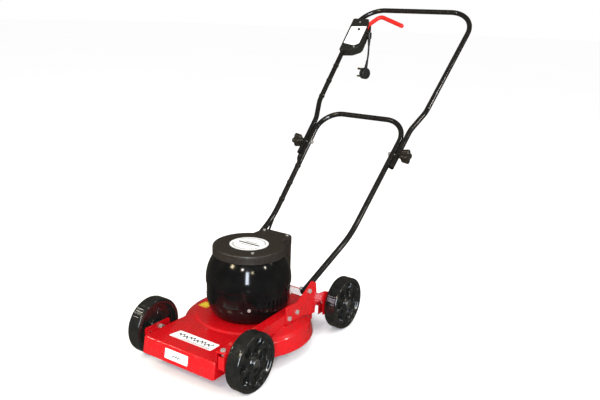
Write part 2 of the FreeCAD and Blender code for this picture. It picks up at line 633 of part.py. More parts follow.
def cover_screws():
    """Pan-head screws of one size: four round the cowl, into the end shield's arms, and the lid's."""
    seats = [(spot, UP) for spot in lid_screw_spots()]
    for a in cowl_screw_angles():
        out = V(math.cos(a), math.sin(a), 0)
        seats.append((V(0, 0, COWL_SCREW_Z) + out * (COWL_SKIRT_RADIUS + SCREW_PROUD), out))
    return Part.makeCompound([unite([rod(seat, out, 2 * SCREW_RADIUS, 2.0),
                                     rod(seat, -out, SCREW_RADIUS, 22)]) for seat, out in seats])


def lid_outline(inset, z0, z1):
    """Plan of the lid: a disc with a hood that runs straight back over the duct."""
    half, back = DUCT_HALF_WIDTH - inset, DUCT_BACK_Y - inset
    disc = rod(V(0, 0, z0), UP, LID_RADIUS - inset, z1 - z0)
    hood = prism([V(-half, 0, z0), V(half, 0, z0), V(half, back, z0), V(-half, back, z0)],
                 [0, 0, 22 - inset, 22 - inset], UP * (z1 - z0))
    return unite([disc, hood])


def lid():
    """Moulded lid with a rounded rim; the hood's underside stays open into the duct."""
    shell = lid_outline(0, COWL_TOP, LID_TOP)
    rim = [e for e in shell.Edges if abs(e.CenterOfMass.z - LID_TOP) < 0.01]
    shell = shell.makeFillet(7.0, rim)
    hollow = lid_outline(3.0, COWL_TOP - 1, LID_TOP - 3.5)
    screws = [rod(spot - UP * 60, UP, SCREW_RADIUS, 100) for spot in lid_screw_spots()]
    return shell.cut(Part.makeCompound([hollow] + screws))


def lid_screw_spots():
    """One screw at the front left and two at the hood's rear corners."""
    reach = LID_SCREW_CIRCLE * math.cos(math.radians(45))
    back = DUCT_BACK_Y - 20
    return [V(reach, -reach, LID_TOP), V(DUCT_HALF_WIDTH - 14, back, LID_TOP),
            V(-DUCT_HALF_WIDTH + 14, back, LID_TOP)]


def lid_badge():
    """Round white badge on the lid."""
    return rod(V(0, 0, LID_TOP), UP, BADGE_RADIUS, LABEL)


def rear_duct():
    """Cover behind the barrel, from the hood down to the deck, for the air and the lead."""
    z0, z1 = DUCT_LOW, COWL_TOP - 0.2
    plan = []
    for inset in (0, 2.5):
        half, back = DUCT_HALF_WIDTH - 1 - inset, DUCT_BACK_Y - 1 - inset
        plan.append(prism([V(-half, 60, z0 - inset), V(half, 60, z0 - inset), V(half, back, z0 - inset),
                           V(-half, back, z0 - inset)], [0, 0, 20 - inset, 20 - inset],
                          UP * (z1 - z0 + 2 * inset)))
    barrel = cowl_profile(-0.3)
    gland = rod(GLAND_SEAT - GLAND_AXIS * 20, GLAND_AXIS, GLAND_RADIUS, 60)
    above = rod(V(0, 0, 200), UP, COWL_TOP_RADIUS + 3, 100)
    pillars = [rod(V(s.x, s.y, z0), UP, 6, z1 - z0).cut(rod(V(s.x, s.y, z0 - 1), UP, SCREW_RADIUS, 300))
               for s in lid_screw_spots()[1:]]
    ribs = [box(5, DUCT_HALF_WIDTH - 2, s.y - 1.2, s.y + 1.2, z0, z1).cut(rod(V(s.x, s.y, z0), UP, 5, 300))
            .cut(box(0, s.x, 0, 200, z0, z1)) for s in lid_screw_spots()[1:2]]
    ribs += [mirrored(rib) for rib in ribs]
    return unite([plan[0].cut(plan[1])] + pillars + ribs).cut(Part.makeCompound([barrel, gland, above]))


def cable_gland():
    """Gland where the motor lead goes into the duct."""
    body = rod(GLAND_SEAT - GLAND_AXIS * 6, GLAND_AXIS, GLAND_RADIUS, 10)
    nut = hex_head(GLAND_SEAT + GLAND_AXIS * 1.5, GLAND_AXIS, 21, 8)
    return unite([body, nut]).cut(rod(GLAND_SEAT - GLAND_AXIS * 20, GLAND_AXIS, CORD_RADIUS, 60))


# ---- rotor: everything that turns with the blade ----
def shaft():
    """Motor shaft from the blade to the cooling fan, with a collar on the lower bearing."""
    start = BLADE_Z + BLADE_THICK
    top = STATOR_TOP + 60
    return rod(V(0, 0, start), UP, SHAFT_RADIUS, top - start).cut(
        rod(V(0, 0, start - 1), UP, BOLT_RADIUS, 26))


def rotor_core():
    """Cage rotor pressed on the shaft."""
    core = ring(V(0, 0, STATOR_BASE), UP, STATOR_BORE - AIR_GAP, SHAFT_RADIUS, STATOR_HEIGHT)
    rings = [ring(V(0, 0, z), UP, STATOR_BORE - 4, STATOR_BORE - 12, 5)
             for z in (STATOR_BASE - 5, STATOR_TOP)]
    return unite([core] + rings)


def fan():
    """Cooling fan on top of the shaft."""
    z = STATOR_TOP + 40
    hub = ring(V(0, 0, z - 2), UP, 15, SHAFT_RADIUS, 20)
    disc = ring(V(0, 0, z), UP, FAN_RADIUS, SHAFT_RADIUS + 5, 2.5)
    blades = []
    for k in range(FAN_BLADES):
        blade = box(13, FAN_RADIUS - 2, -1.25, 1.25, z + 1, z + 17)
        blade.rotate(V(0, 0, 0), UP, 360 / FAN_BLADES * k)
        blades.append(blade)
    return unite([hub, disc] + blades)


def blade_boss():
    """Cast boss on the shaft that the blade is bolted to."""
    z = BLADE_Z + BLADE_THICK
    body = loft_profile([(SHAFT_RADIUS, z), (26, z), (26, z + 5), (14, z + 14), (14, z + 36),
                         (SHAFT_RADIUS, z + 36)])
    return body


def blade():
    """Flat steel bar blade with lifted tips and ground leading edges."""
    half, wide, thick = BLADE_LENGTH / 2, 25.0, BLADE_THICK
    arm = prism([V(-half, -wide, BLADE_Z), V(half, -wide, BLADE_Z), V(half, wide, BLADE_Z),
                 V(-half, wide, BLADE_Z)], [4] * 4, UP * thick)
    wings, grinds = [], []
    for turn in (0, 180):
        wing = prism([V(half - 75, 10, BLADE_Z), V(half - 75, wide, BLADE_Z + 10),
                      V(half - 75, wide - 3, BLADE_Z + 13), V(half - 75, 8, BLADE_Z + thick)],
                     [0] * 4, SIDE * 72)
        grind = prism([V(half - 90, -wide, BLADE_Z), V(half - 90, -wide + 9, BLADE_Z + thick),
                       V(half - 90, -wide - 1, BLADE_Z + thick), V(half - 90, -wide - 1, BLADE_Z)],
                      [0] * 4, SIDE * 95)
        for shape, group in ((wing, wings), (grind, grinds)):
            shape.rotate(V(0, 0, 0), UP, turn)
            group.append(shape)
    hole = rod(V(0, 0, BLADE_Z - 1), UP, BOLT_RADIUS, 20)
    return unite([arm] + wings).cut(Part.makeCompound(grinds + [hole]))


def blade_bolt():
    """Bolt with a wide flange that holds the blade."""
    seat = V(0, 0, BLADE_Z)
    return unite([bolt(seat - UP * 3, -UP, 24, across=17, height=7), rod(seat - UP * 3, UP, 15, 3)])


# ---- handle ----
def leg_point(half_width, along, front=0.0):
    """A point of the handle's sloping plane: along it from the bend, and in front of it."""
    return V(half_width, 0, 0) + BEND + LEG_DIR * along + LEG_NORMAL * front


def lower_half_width(along):
    """Half the distance between the lower legs, which spread slightly upwards."""
    return HALF_WIDTH_AT_BEND + LEG_SPREAD * along


def overlap_half_width(along):
    """Half the distance between the upper legs where they lie outside the lower ones."""
    return lower_half_width(along) + 2 * TUBE_RADIUS + APART


def pivot_point():
    return V(0, PIVOT_Y, PIVOT_Z)


def knob_point():
    return leg_point(0, KNOB_ALONG)


def lower_handle_path():
    """Foot, bend and bar corner of both legs, from the left foot to the right one."""
    foot = V(PIVOT_X, 0, 0) + pivot_point() - LOW_DIR * FOOT_BELOW_PIVOT
    left = [foot, V(HALF_WIDTH_AT_BEND, 0, 0) + BEND, leg_point(HALF_WIDTH_AT_BAR, LOWER_LEG)]
    right = [V(-p.x, p.y, p.z) for p in reversed(left)]
    return left + right, [0, BEND_RADIUS, LOWER_CORNER, LOWER_CORNER, BEND_RADIUS, 0]


def lower_handle():
    """Lower U of the handle, one bent tube drilled for its pivots and knob bolts."""
    points, radii = lower_handle_path()
    tube = tube_along(points, radii, TUBE_RADIUS, TUBE_WALL)
    holes = [rod(pivot_point() - SIDE * 250, SIDE, BOLT_RADIUS + RUNNING, 500),
             rod(knob_point() - SIDE * 250, SIDE, BOLT_RADIUS, 500)]
    return tube.cut(Part.makeCompound(holes))


def upper_handle_path():
    """Foot, jog and bar corner of both legs, from the left foot to the right one."""
    low = KNOB_ALONG - OVERLAP_BELOW_KNOB
    left = [leg_point(overlap_half_width(low), low),
            leg_point(overlap_half_width(JOG_START), JOG_START),
            leg_point(JOG_HALF_WIDTH, JOG_END), leg_point(TOP_HALF_WIDTH, TOP_ALONG)]
    right = [V(-p.x, p.y, p.z) for p in reversed(left)]
    return left + right, [0, JOG_RADIUS, JOG_RADIUS, TOP_CORNER, TOP_CORNER, JOG_RADIUS, JOG_RADIUS, 0]


def upper_handle():
    """Upper U of the handle, jogged inwards to lie outside the lower legs at the knobs."""
    points, radii = upper_handle_path()
    tube = tube_along(points, radii, TUBE_RADIUS, TUBE_WALL)
    hole = rod(knob_point() - SIDE * 250, SIDE, BOLT_RADIUS + RUNNING, 500)
    return tube.cut(hole)


def pivot_bolts():
    """Bolts that hang the handle in the ears, each with a nut inside the tube's leg."""
    seat = V(PLATE_OUT, 0, 0) + pivot_point()
    inner = PIVOT_X - TUBE_RADIUS - APART
    shank = bolt(seat, SIDE, PLATE_OUT - inner + 8)
    nut = hex_head(V(inner, 0, 0) + pivot_point(), -SIDE, 13, 6.5)
    nut = nut.cut(rod(seat, -SIDE, BOLT_RADIUS, 60))
    return both_sides(Part.makeCompound([shank, nut]))


def knob_seat():
    """The outer face of the upper leg at the knob bolt."""
    return overlap_half_width(KNOB_ALONG) + TUBE_RADIUS + APART


def clamp_bolts():
    """Bolts through both pairs of legs; the knobs turn on their outer ends."""
    head = V(lower_half_width(KNOB_ALONG) - TUBE_RADIUS - 0.5, 0, 0) + knob_point()
    length = knob_seat() + 24 - head.x
    return both_sides(bolt(head, -SIDE, length))


def knob(side):
    """Fluted hand knob that clamps the upper leg to the lower one."""
    start = V(knob_seat(), 0, 0) + knob_point()
    body = rod(start + SIDE * 7, SIDE, KNOB_RADIUS, KNOB_LENGTH - 7)
    rim = [e for e in body.Edges if len(e.Vertexes) == 1]
    body = body.makeFillet(4.0, rim)
    flutes = []
    for k in range(KNOB_FLUTES):
        a = 2 * math.pi * k / KNOB_FLUTES
        out = V(0, math.cos(a), math.sin(a))
        flutes.append(rod(start + out * (KNOB_RADIUS + 4.5), SIDE, 8.0, KNOB_LENGTH + 1))
    shape = unite([body.cut(Part.makeCompound(flutes)), rod(start, SIDE, 11, 10)])
    shape = shape.cut(rod(start - SIDE, SIDE, BOLT_RADIUS + RUNNING, 26))
    return on_side(shape, side)


# ---- leads ----
def lead_beside(half_width, along):
    """Where the lead lies, behind and just outside a right-hand leg."""
    return leg_point(-half_width - LEAD_OUT, along, -LEAD_BACK)


def clip_at(half_width, along):
    """A band round a right-hand leg and the lead behind it."""
    leg, lead = leg_point(-half_width, along), lead_beside(half_width, along)
    band = unite([rod(leg, LEG_DIR, TUBE_RADIUS + 1.4, 8), rod(lead, LEG_DIR, CORD_RADIUS + 1.2, 8)])
    return band.cut(rod(leg - LEG_DIR, LEG_DIR, TUBE_RADIUS + 0.5, 12))


def lower_lead_clips():
    """Bands that hold the motor lead behind the right lower leg."""
    bands = [clip_at(lower_half_width(along), along) for along in LOWER_CLIPS]
    return Part.makeCompound(bands).cut(handle_lead())


def upper_half_width(along):
    """Half the distance between the upper legs above their jog."""
    return JOG_HALF_WIDTH + TOP_SPREAD * (along - JOG_END)


def upper_lead_clips():
    """Bands that hold the motor lead behind the right upper leg."""
    bands = [clip_at(upper_half_width(along), along) for along in UPPER_CLIPS]
    return Part.makeCompound(bands).cut(switch_lead())


def switch_lead():
    """The motor lead behind the right upper leg, from the switch box to the leg's foot."""
    top, foot = TOP_ALONG - BOX_END_BELOW_TOP - 4, KNOB_ALONG - OVERLAP_BELOW_KNOB + 3
    points = [lead_beside(upper_half_width(top), top),
              lead_beside(JOG_HALF_WIDTH, JOG_END), lead_beside(overlap_half_width(JOG_START), JOG_START),
              lead_beside(overlap_half_width(foot), foot)]
    return bar_along(points, [0, JOG_RADIUS, JOG_RADIUS, 0], CORD_RADIUS)


def handle_lead():
    """The motor lead from the upper leg's foot down behind the right lower leg."""
    foot = KNOB_ALONG - OVERLAP_BELOW_KNOB - 3
    points = [lead_beside(overlap_half_width(foot), foot), lead_beside(overlap_half_width(foot), foot - 14),
              lead_beside(lower_half_width(foot - 50), foot - 50),
              lead_beside(lower_half_width(LEAD_LEAVES), LEAD_LEAVES)]
    return bar_along(points, [0, 30, 60, 0], CORD_RADIUS)


def motor_lead():
    """The motor lead from the lower leg's last clip, under the leg and into the duct's gland."""
    start = lead_beside(lower_half_width(LEAD_LEAVES), LEAD_LEAVES) - LEG_DIR * 0.5
    points = [start, start - LEG_DIR * 50, V(-150, 300, 244), V(-122, 225, 222),
              V(-112, GLAND_SEAT.y, GLAND_SEAT.z), GLAND_SEAT + GLAND_AXIS * 4]
    return bar_along(points, [0, 60, 60, 60, 30, 0], CORD_RADIUS)


# ---- switch box, on the right upper leg just under the top bar ----
def grip_point(inboard, below, front=0.0):
    """A point beside the right upper leg: inboard of it, below the top bar, in front."""
    half_width = TOP_HALF_WIDTH - TOP_SPREAD * below - inboard
    return leg_point(-half_width, TOP_ALONG - below, front)


def grip_prism(outline, radii, back, front):
    """A flat outline of (inboard, below) points carried from its back to its front."""
    points = [grip_point(inboard, below, back) for inboard, below in outline]
    return prism(points, radii, LEG_NORMAL * (front - back))


def box_outline():
    return [(-BOX_OUTBOARD, BOX_END_BELOW_TOP + 4), (38, BOX_END_BELOW_TOP), (BOX_INBOARD + 3, BOX_END_BELOW_TOP - 21),
            (BOX_INBOARD, 98), (BOX_INBOARD - 12, BOX_BELOW_TOP), (-BOX_OUTBOARD, BOX_BELOW_TOP)]


def box_hollow():
    """Space inside the switch box, beside the tube, and the mouth that the lever swings in."""
    end = BOX_END_BELOW_TOP - 6
    room = [(BOX_OUTBOARD + 1, end), (36, end - 2), (BOX_INBOARD, end - 22), (BOX_INBOARD - BOX_WALL - 0.5, 101),
            (BOX_INBOARD - 15, BOX_BELOW_TOP + 4), (BOX_OUTBOARD + 3, BOX_BELOW_TOP + 4)]
    inside = grip_prism(room, [4, 20, 14, 12, 8, 4], BOX_BACK + BOX_WALL, BOX_FRONT - BOX_WALL)
    mouth = [(LEVER_PIVOT[0] - LEVER_HUB, 114), (BOX_INBOARD + 20, 114), (BOX_INBOARD + 20, 40),
             (LEVER_PIVOT[0] - LEVER_HUB, 40)]
    return unite([inside, grip_prism(mouth, [0] * 4, -9, 9)])


def box_screw_spots():
    return [(50, BOX_END_BELOW_TOP - 17), (27, 84)]


def cord_boss():
    """Upright outlet on a short neck at the box's inner side, and the middle of its foot."""
    middle = grip_point(BOX_INBOARD + 10.5, CORD_EXIT_BELOW_TOP, -9)
    boss = rod(middle - UP * 12, UP, 9, 24)
    neck = rod(middle - SIDE * 13, SIDE, 8, 13)
    return unite([boss.makeFillet(2.0, [e for e in boss.Edges if e.CenterOfMass.z > middle.z + 11]), neck]), \
        middle - UP * 12


def box_half(back, front):
    """One half of the switch box, clamped round the tube."""
    outline = grip_prism(box_outline(), [6, 30, 22, 14, 10, 6], back, front)
    points, radii = upper_handle_path()
    parts = [outline.cut(box_hollow())]
    for inboard, below in box_screw_spots():
        low, high = max(back, BOX_BACK + BOX_WALL), min(front, BOX_FRONT - BOX_WALL)
        parts.append(rod(grip_point(inboard, below, low), LEG_NORMAL, 4.5, high - low))
    return unite(parts).cut(bar_along(points, radii, TUBE_RADIUS + 0.1))


def box_screw_holes():
    return [rod(grip_point(inboard, below, BOX_BACK + 8), LEG_NORMAL, 1.6, 60)
            for inboard, below in box_screw_spots()]


def switch_box_front():
    """Front half of the switch box, with the button's hole."""
    boss = cord_boss()[0]
    hole = rod(grip_point(*BUTTON_SPOT, 0), LEG_NORMAL, BUTTON_RADIUS + RUNNING, 40)
    shape = box_half(0, BOX_FRONT).cut(Part.makeCompound([boss, hole] + box_screw_holes()))
    face = [e for e in shape.Edges if on_outline(e, BOX_FRONT)]
    return shape.makeFillet(2.5, face)


def on_outline(edge, front):
    """True for an edge that runs round the box's outer rim at the given height."""
    flat = [(v.Point - BEND).dot(LEG_NORMAL) for v in edge.Vertexes]
    if any(abs(h - front) > 0.01 for h in flat):
        return False
    spots = [edge.valueAt(edge.FirstParameter + (edge.LastParameter - edge.FirstParameter) * t)
             for t in (0.0, 0.5, 1.0)]
    wire = rounded_wire([grip_point(i, b, front) for i, b in box_outline()], [6, 30, 22, 14, 10, 6], True)
    return all(wire.distToShape(Part.Vertex(p))[0] < 0.01 for p in spots)


def switch_box_back():
    """Back half of the switch box, with the cord's outlet."""
    boss = cord_boss()[0].cut(box_hollow())
    shape = box_half(BOX_BACK, 0).cut(Part.makeCompound(box_screw_holes()))
    face = [e for e in shape.Edges if on_outline(e, BOX_BACK)]
    return unite([shape.makeFillet(2.5, face), boss])


def switch_label():
    """White face plate of the switch box, with a hole for the button."""
    outline = [(-5, 203), (46, 213), (66, 200), (67, 106), (-4, 110)]
    plate = grip_prism(outline, [3, 14, 8, 4, 4], BOX_FRONT, BOX_FRONT + LABEL)
    return plate.cut(rod(grip_point(*BUTTON_SPOT, 0), LEG_NORMAL, BUTTON_RADIUS + 0.5, 40))


def switch_button():
    """Lock-off push button, with a flange behind the box's front wall."""
    stem = rod(grip_point(*BUTTON_SPOT, 4), LEG_NORMAL, BUTTON_RADIUS, BOX_FRONT + BUTTON_TRAVEL + 1 - 4)
    top = [e for e in stem.Edges if abs((e.CenterOfMass - BEND).dot(LEG_NORMAL)
                                        - BOX_FRONT - BUTTON_TRAVEL - 1) < 0.01]
    flange = rod(grip_point(*BUTTON_SPOT, 4), LEG_NORMAL, BUTTON_RADIUS + 2, 2.5)
    return unite([stem.makeFillet(1.2, top), flange])


def micro_switch():
    """Snap-action switch under the lever's hub."""
    outline = [(48, 134), (68, 134), (68, 117), (48, 117)]
    plunger = grip_prism([(56, 118), (60, 118), (60, 114.5), (56, 114.5)], [0] * 4, -12, -9)
    return unite([grip_prism(outline, [1] * 4, -20.5, -4), plunger])


def box_screws():
    """Two screws through the front half into the back half."""
    return Part.makeCompound([unite([rod(grip_point(i, b, BOX_FRONT), LEG_NORMAL, 3.6, 1.6),
                                     rod(grip_point(i, b, BOX_FRONT), -LEG_NORMAL, 1.6, 24)])
                              for i, b in box_screw_spots()])


def switch_lever():
    """Red squeeze lever: a hub in the box, a short rise and a long arm under the top bar."""
    hub = grip_point(*LEVER_PIVOT)
    elbow = leg_point(-152, TOP_ALONG - 35)
    tip = leg_point(-37, TOP_ALONG - 83)
    arm = bar_along([hub, elbow, tip], [0, 22, 0], LEVER_RADIUS)
    knuckle = rod(hub - LEG_NORMAL * 8, LEG_NORMAL, LEVER_HUB, 16)
    end = Part.makeSphere(LEVER_RADIUS, tip)
    pin_hole = rod(hub - LEG_NORMAL * 20, LEG_NORMAL, PIN_RADIUS + RUNNING, 40)
    return unite([arm, knuckle, end]).cut(pin_hole)


def lever_pin():
    """Pin across the box that the lever turns on."""
    low, high = BOX_BACK + BOX_WALL, BOX_FRONT - BOX_WALL
    return rod(grip_point(*LEVER_PIVOT, low), LEG_NORMAL, PIN_RADIUS, high - low)


def lever_spring():
    """Close-wound return spring on the lever's pin, with a tail against the box."""
    rings = []
    for k in range(5):
        middle = grip_point(*LEVER_PIVOT, BOX_BACK + BOX_WALL + 2 + 1.6 * k)
        rings.append(Part.makeTorus(5.0, 0.9, middle, LEG_NORMAL))
    tail_start = grip_point(LEVER_PIVOT[0] - 5, LEVER_PIVOT[1] - 0.5, BOX_BACK + BOX_WALL + 2)
    rings.append(rod(tail_start, -LEG_DIR, 0.8, 14))
    return unite(rings)


# ---- supply cord and plug ----
def strain_relief():
    """Tapered sleeve under the box's outlet."""
    seat = cord_boss()[1]
    return Part.makeCone(7.0, 4.8, RELIEF_LENGTH, seat, -UP)


def cord_route():
    """Points of the supply cord from the strain relief down to the plug's boot."""
    start = cord_boss()[1] - UP * RELIEF_LENGTH
    return [start + V(x, y, z) for x, y, z in CORD_STEPS]


def supply_cord():
    """The short supply cord that hangs from the switch box."""
    points = cord_route()
    radii = [0]
    for before, point, after in zip(points, points[1:], points[2:]):
        run = min((point - before).Length, (after - point).Length)
        turn = (point - before).getAngle(after - point)
        radii.append(0.45 * run / math.tan(turn / 2))
    print("cord arc radii", [round(r, 1) for r in radii[1:]])
    cord = bar_along(points, radii + [0], CORD_RADIUS)
    length = sum((b - a).Length for a, b in zip(points, points[1:]))
    print("cord length", round(length, 1), "volume ratio",
          round(cord.Volume / (math.pi * CORD_RADIUS ** 2 * length), 3))
    return cord


def boot_axis():
    """Direction of the cord where it enters the boot, and the place."""
    points = cord_route()
    return points[-1], (points[-1] - points[-2]).normalize()


def plug_boot():
    """Flexible boot between the cord and the plug."""
    start, axis = boot_axis()
    return Part.makeCone(4.6, 7.2, BOOT_LENGTH, start, axis)


def plug_frame():
    """The plug's middle, and the direction in which its pins point."""
    start, axis = boot_axis()
    out = V(-math.cos(math.radians(PLUG_TURN)), math.sin(math.radians(PLUG_TURN)), 0)
    return start + axis * (BOOT_LENGTH + PLUG_RADIUS - 1.5), out


def plug_body():
    """Round moulded plug with a rounded rim."""
    middle, out = plug_frame()
    disc = rod(middle - out * (PLUG_THICKNESS / 2), out, PLUG_RADIUS, PLUG_THICKNESS)
    rims = [e for e in disc.Edges if len(e.Vertexes) == 1]
    disc = disc.makeFillet(4.5, rims)
    return disc.cut(Part.makeCompound([plug_boot()] + pin_rods()))


def pin_rods():
    """The three round pins on thinner necks: two equal ones and a longer, thicker earth pin."""
    middle, out = plug_frame()
    across = UP.cross(out)
    face = middle + out * (PLUG_THICKNESS / 2)
    pins = []
    for shift, rise, radius, length in ((-PIN_SPACING / 2, -PIN_DROP, PIN_R, PIN_LENGTH),
                                        (PIN_SPACING / 2, -PIN_DROP, PIN_R, PIN_LENGTH),
                                        (0, EARTH_PIN_RISE - PIN_DROP, EARTH_PIN_R, EARTH_PIN_LENGTH)):
        root = face + across * shift + UP * rise
        neck = rod(root - out * 8, out, radius - PIN_NECK, 8 + PIN_STAND)
        pins.append(unite([neck, rod(root + out * PIN_STAND, out, radius, length - PIN_STAND)]))
    return pins


def plug_pins():
    """Brass pins of the plug."""
    return Part.makeCompound(pin_rods())


NODES = {
    "deck_shell": deck_shell, "deck_labels": deck_labels, "caution_label": caution_label,
    "frame_struts": frame_struts, "chassis_bolts": chassis_bolts,
    "axle_bolts": axle_bolts, "axle_nuts": axle_nuts, "pivot_bolts": pivot_bolts,
    "lower_end_shield": lower_shield, "upper_end_shield": upper_shield,
    "stator_core": stator_core, "stator_windings": stator_windings,
    "shaft_bearings": shaft_bearings, "run_capacitor": run_capacitor,
    "motor_cowl": cowl, "cover_screws": cover_screws, "motor_lid": lid, "lid_badge": lid_badge,
    "rear_duct": rear_duct, "cable_gland": cable_gland, "motor_lead": motor_lead,
    "motor_shaft": shaft, "rotor_core": rotor_core, "cooling_fan": fan,
    "blade_boss": blade_boss, "blade": blade, "blade_bolt": blade_bolt,
    "lower_handle": lower_handle, "clamp_bolts": clamp_bolts,
    "lower_lead_clips": lower_lead_clips, "handle_lead": handle_lead,
    "upper_handle": upper_handle, "upper_lead_clips": upper_lead_clips, "switch_lead": switch_lead,
    "switch_box_front": switch_box_front, "switch_box_back": switch_box_back,
    "switch_label": switch_label, "switch_button": switch_button,
    "micro_switch": micro_switch, "box_screws": box_screws,
    "switch_lever": switch_lever, "lever_pin": lever_pin, "lever_spring": lever_spring,
    "strain_relief": strain_relief, "supply_cord": supply_cord, "plug_boot": plug_boot,
    "plug_body": plug_body, "plug_pins": plug_pins,
}
for _side in SIDES:
    for _name, _make in (("side_rail_", side_rail), ("front_bracket_", front_bracket),
                         ("rear_plate_", rear_plate), ("knob_", knob)):
        NODES[_name + _side] = lambda make=_make, side=_side: make(side)
    for _end in WHEEL_Y:
        NODES["wheel_" + _end + "_" + _side] = lambda end=_end, side=_side: wheel(end, side)


def build():
    """Writes one file per node and prints what can't be seen in them."""
    os.makedirs("parts", exist_ok=True)
    print("motor axis at y =", round(AXIS_Y, 3))
    middle, out = plug_frame()
    print("plug middle", middle + V(0, AXIS_Y, 0), "pins along", out)
    print("lever pivot", grip_point(*LEVER_PIVOT) + V(0, AXIS_Y, 0), "about", LEG_NORMAL)
    print("button", grip_point(*BUTTON_SPOT) + V(0, AXIS_Y, 0), "knobs", knob_point() + V(0, AXIS_Y, 0))
    print("cord", [tuple(round(c, 2) for c in p + V(0, AXIS_Y, 0)) for p in cord_route()])
    for name, make in NODES.items():
        shape = make()
        shape.translate(V(0, AXIS_Y, 0))
        if not shape.isValid() or shape.Volume <= 0:
            print("FAULT", name, shape.isValid(), shape.Volume)
        shape.exportStep("parts/" + name + ".step")
    print(len(NODES), "nodes")


build()
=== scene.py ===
import json
import math

import bpy
import numpy as np
from mathutils import Matrix, Vector


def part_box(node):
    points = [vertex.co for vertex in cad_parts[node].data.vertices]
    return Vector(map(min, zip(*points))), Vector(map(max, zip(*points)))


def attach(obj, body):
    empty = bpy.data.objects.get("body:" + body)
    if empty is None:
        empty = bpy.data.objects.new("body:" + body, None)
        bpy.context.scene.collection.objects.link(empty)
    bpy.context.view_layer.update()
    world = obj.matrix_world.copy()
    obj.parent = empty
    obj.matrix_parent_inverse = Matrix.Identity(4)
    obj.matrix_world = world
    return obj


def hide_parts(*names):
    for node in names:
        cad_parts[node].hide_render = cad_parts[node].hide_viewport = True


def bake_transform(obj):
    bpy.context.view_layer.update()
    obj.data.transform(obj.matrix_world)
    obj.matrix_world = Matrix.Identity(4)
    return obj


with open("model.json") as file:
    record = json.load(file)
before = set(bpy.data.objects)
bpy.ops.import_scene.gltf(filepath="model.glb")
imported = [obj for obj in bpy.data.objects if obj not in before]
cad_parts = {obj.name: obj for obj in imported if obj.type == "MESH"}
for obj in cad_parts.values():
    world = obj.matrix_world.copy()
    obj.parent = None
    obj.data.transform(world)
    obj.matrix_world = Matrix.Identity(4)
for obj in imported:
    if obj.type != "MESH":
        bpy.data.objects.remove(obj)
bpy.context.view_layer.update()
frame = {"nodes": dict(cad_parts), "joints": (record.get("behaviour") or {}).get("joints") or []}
NODES = frame["nodes"]

# ---- sizes in metres, taken from the frame ----
WHEELS = ("wheel_front_left", "wheel_rear_left", "wheel_front_right", "wheel_rear_right")
KNOBS = ("knob_left", "knob_right")
SHAFT_LOW, SHAFT_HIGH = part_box("motor_shaft")
MOTOR = (SHAFT_LOW + SHAFT_HIGH) / 2
SLOPE = math.radians(44.3)   # of the handle's upper stretch, above the level
LEG_DIR = Vector((0, math.cos(SLOPE), math.sin(SLOPE)))
LEG_NORMAL = Vector((0, -math.sin(SLOPE), math.cos(SLOPE)))
BEND = Vector((0, -0.04742, 0.29324))   # where the lower legs bend, between the two legs
JOINTS = {joint["name"]: joint for joint in frame["joints"]}


# ---- mesh helpers ----
def add_piece(name, points, faces, smooth=True):
    """A mesh object at the origin from an array of points and a list or array of faces."""
    mesh = bpy.data.meshes.new(name)
    faces = faces if isinstance(faces, list) else np.asarray(faces).tolist()
    mesh.from_pydata(np.asarray(points).tolist(), [], faces)
    mesh.polygons.foreach_set("use_smooth", [smooth] * len(mesh.polygons))
    mesh.update()
    piece = bpy.data.objects.new(name, mesh)
    bpy.context.scene.collection.objects.link(piece)
    return piece


def grid_faces(rows, columns, wrap_rows=False, wrap_columns=False):
    """Quads of a rows by columns grid of points, closed round either way where asked."""
    r = np.arange(rows if wrap_rows else rows - 1)
    c = np.arange(columns if wrap_columns else columns - 1)
    r, c = (a.ravel() for a in np.meshgrid(r, c, indexing="ij"))
    r2, c2 = (r + 1) % rows, (c + 1) % columns
    return np.stack([r * columns + c, r * columns + c2, r2 * columns + c2, r2 * columns + c], 1)


def ramp(x, low, high):
    """Smooth step from 0 at low to 1 at high."""
    t = np.clip((x - low) / (high - low), 0, 1)
    return t * t * (3 - 2 * t)


def tube_points(route, radius, around=20):
    """Points of a tube: circles of the radius round a route, kept square to it without twist."""
    route = np.asarray(route, float)
    along = np.gradient(route, axis=0)
    along /= np.linalg.norm(along, axis=1)[:, None]
    up = np.cross(along[0], (0.3, 0.1, 0.9))
    frames = []
    for direction in along:
        up = up - direction * np.dot(up, direction)
        up /= np.linalg.norm(up)
        frames.append(up)
    up = np.array(frames)
    side = np.cross(along, up)
    turn = np.linspace(0, 2 * math.pi, around, endpoint=False)
    radius = np.broadcast_to(radius, len(route))[:, None, None]
    ring = up[:, None] * np.cos(turn)[None, :, None] + side[:, None] * np.sin(turn)[None, :, None]
    return route[:, None] + ring * radius


def tube_piece(name, route, radius, around=20):
    """A closed tube along a route, with a flat cap at both ends."""
    points = tube_points(route, radius, around)
    rows = len(points)
    faces = grid_faces(rows, around, wrap_columns=True)[:, ::-1].tolist()
    faces += [list(range(around)), [(rows - 1) * around + k for k in reversed(range(around))]]
    return add_piece(name, points.reshape(-1, 3), faces)


def smooth_route(points, count=160):
    """A line through the given points: a uniform Catmull-Rom curve read at even steps."""
    p = np.asarray(points, float)
    p = np.vstack([2 * p[0] - p[1], p, 2 * p[-1] - p[-2]])
    t = np.linspace(0, len(points) - 1 - 1e-9, count)
    k = t.astype(int)
    f = (t - k)[:, None]
    a, b, c, d = p[k], p[k + 1], p[k + 2], p[k + 3]
    return 0.5 * (2 * b + (c - a) * f + (2 * a - 5 * b + 4 * c - d) * f ** 2
                  + (3 * b - a - 3 * c + d) * f ** 3)


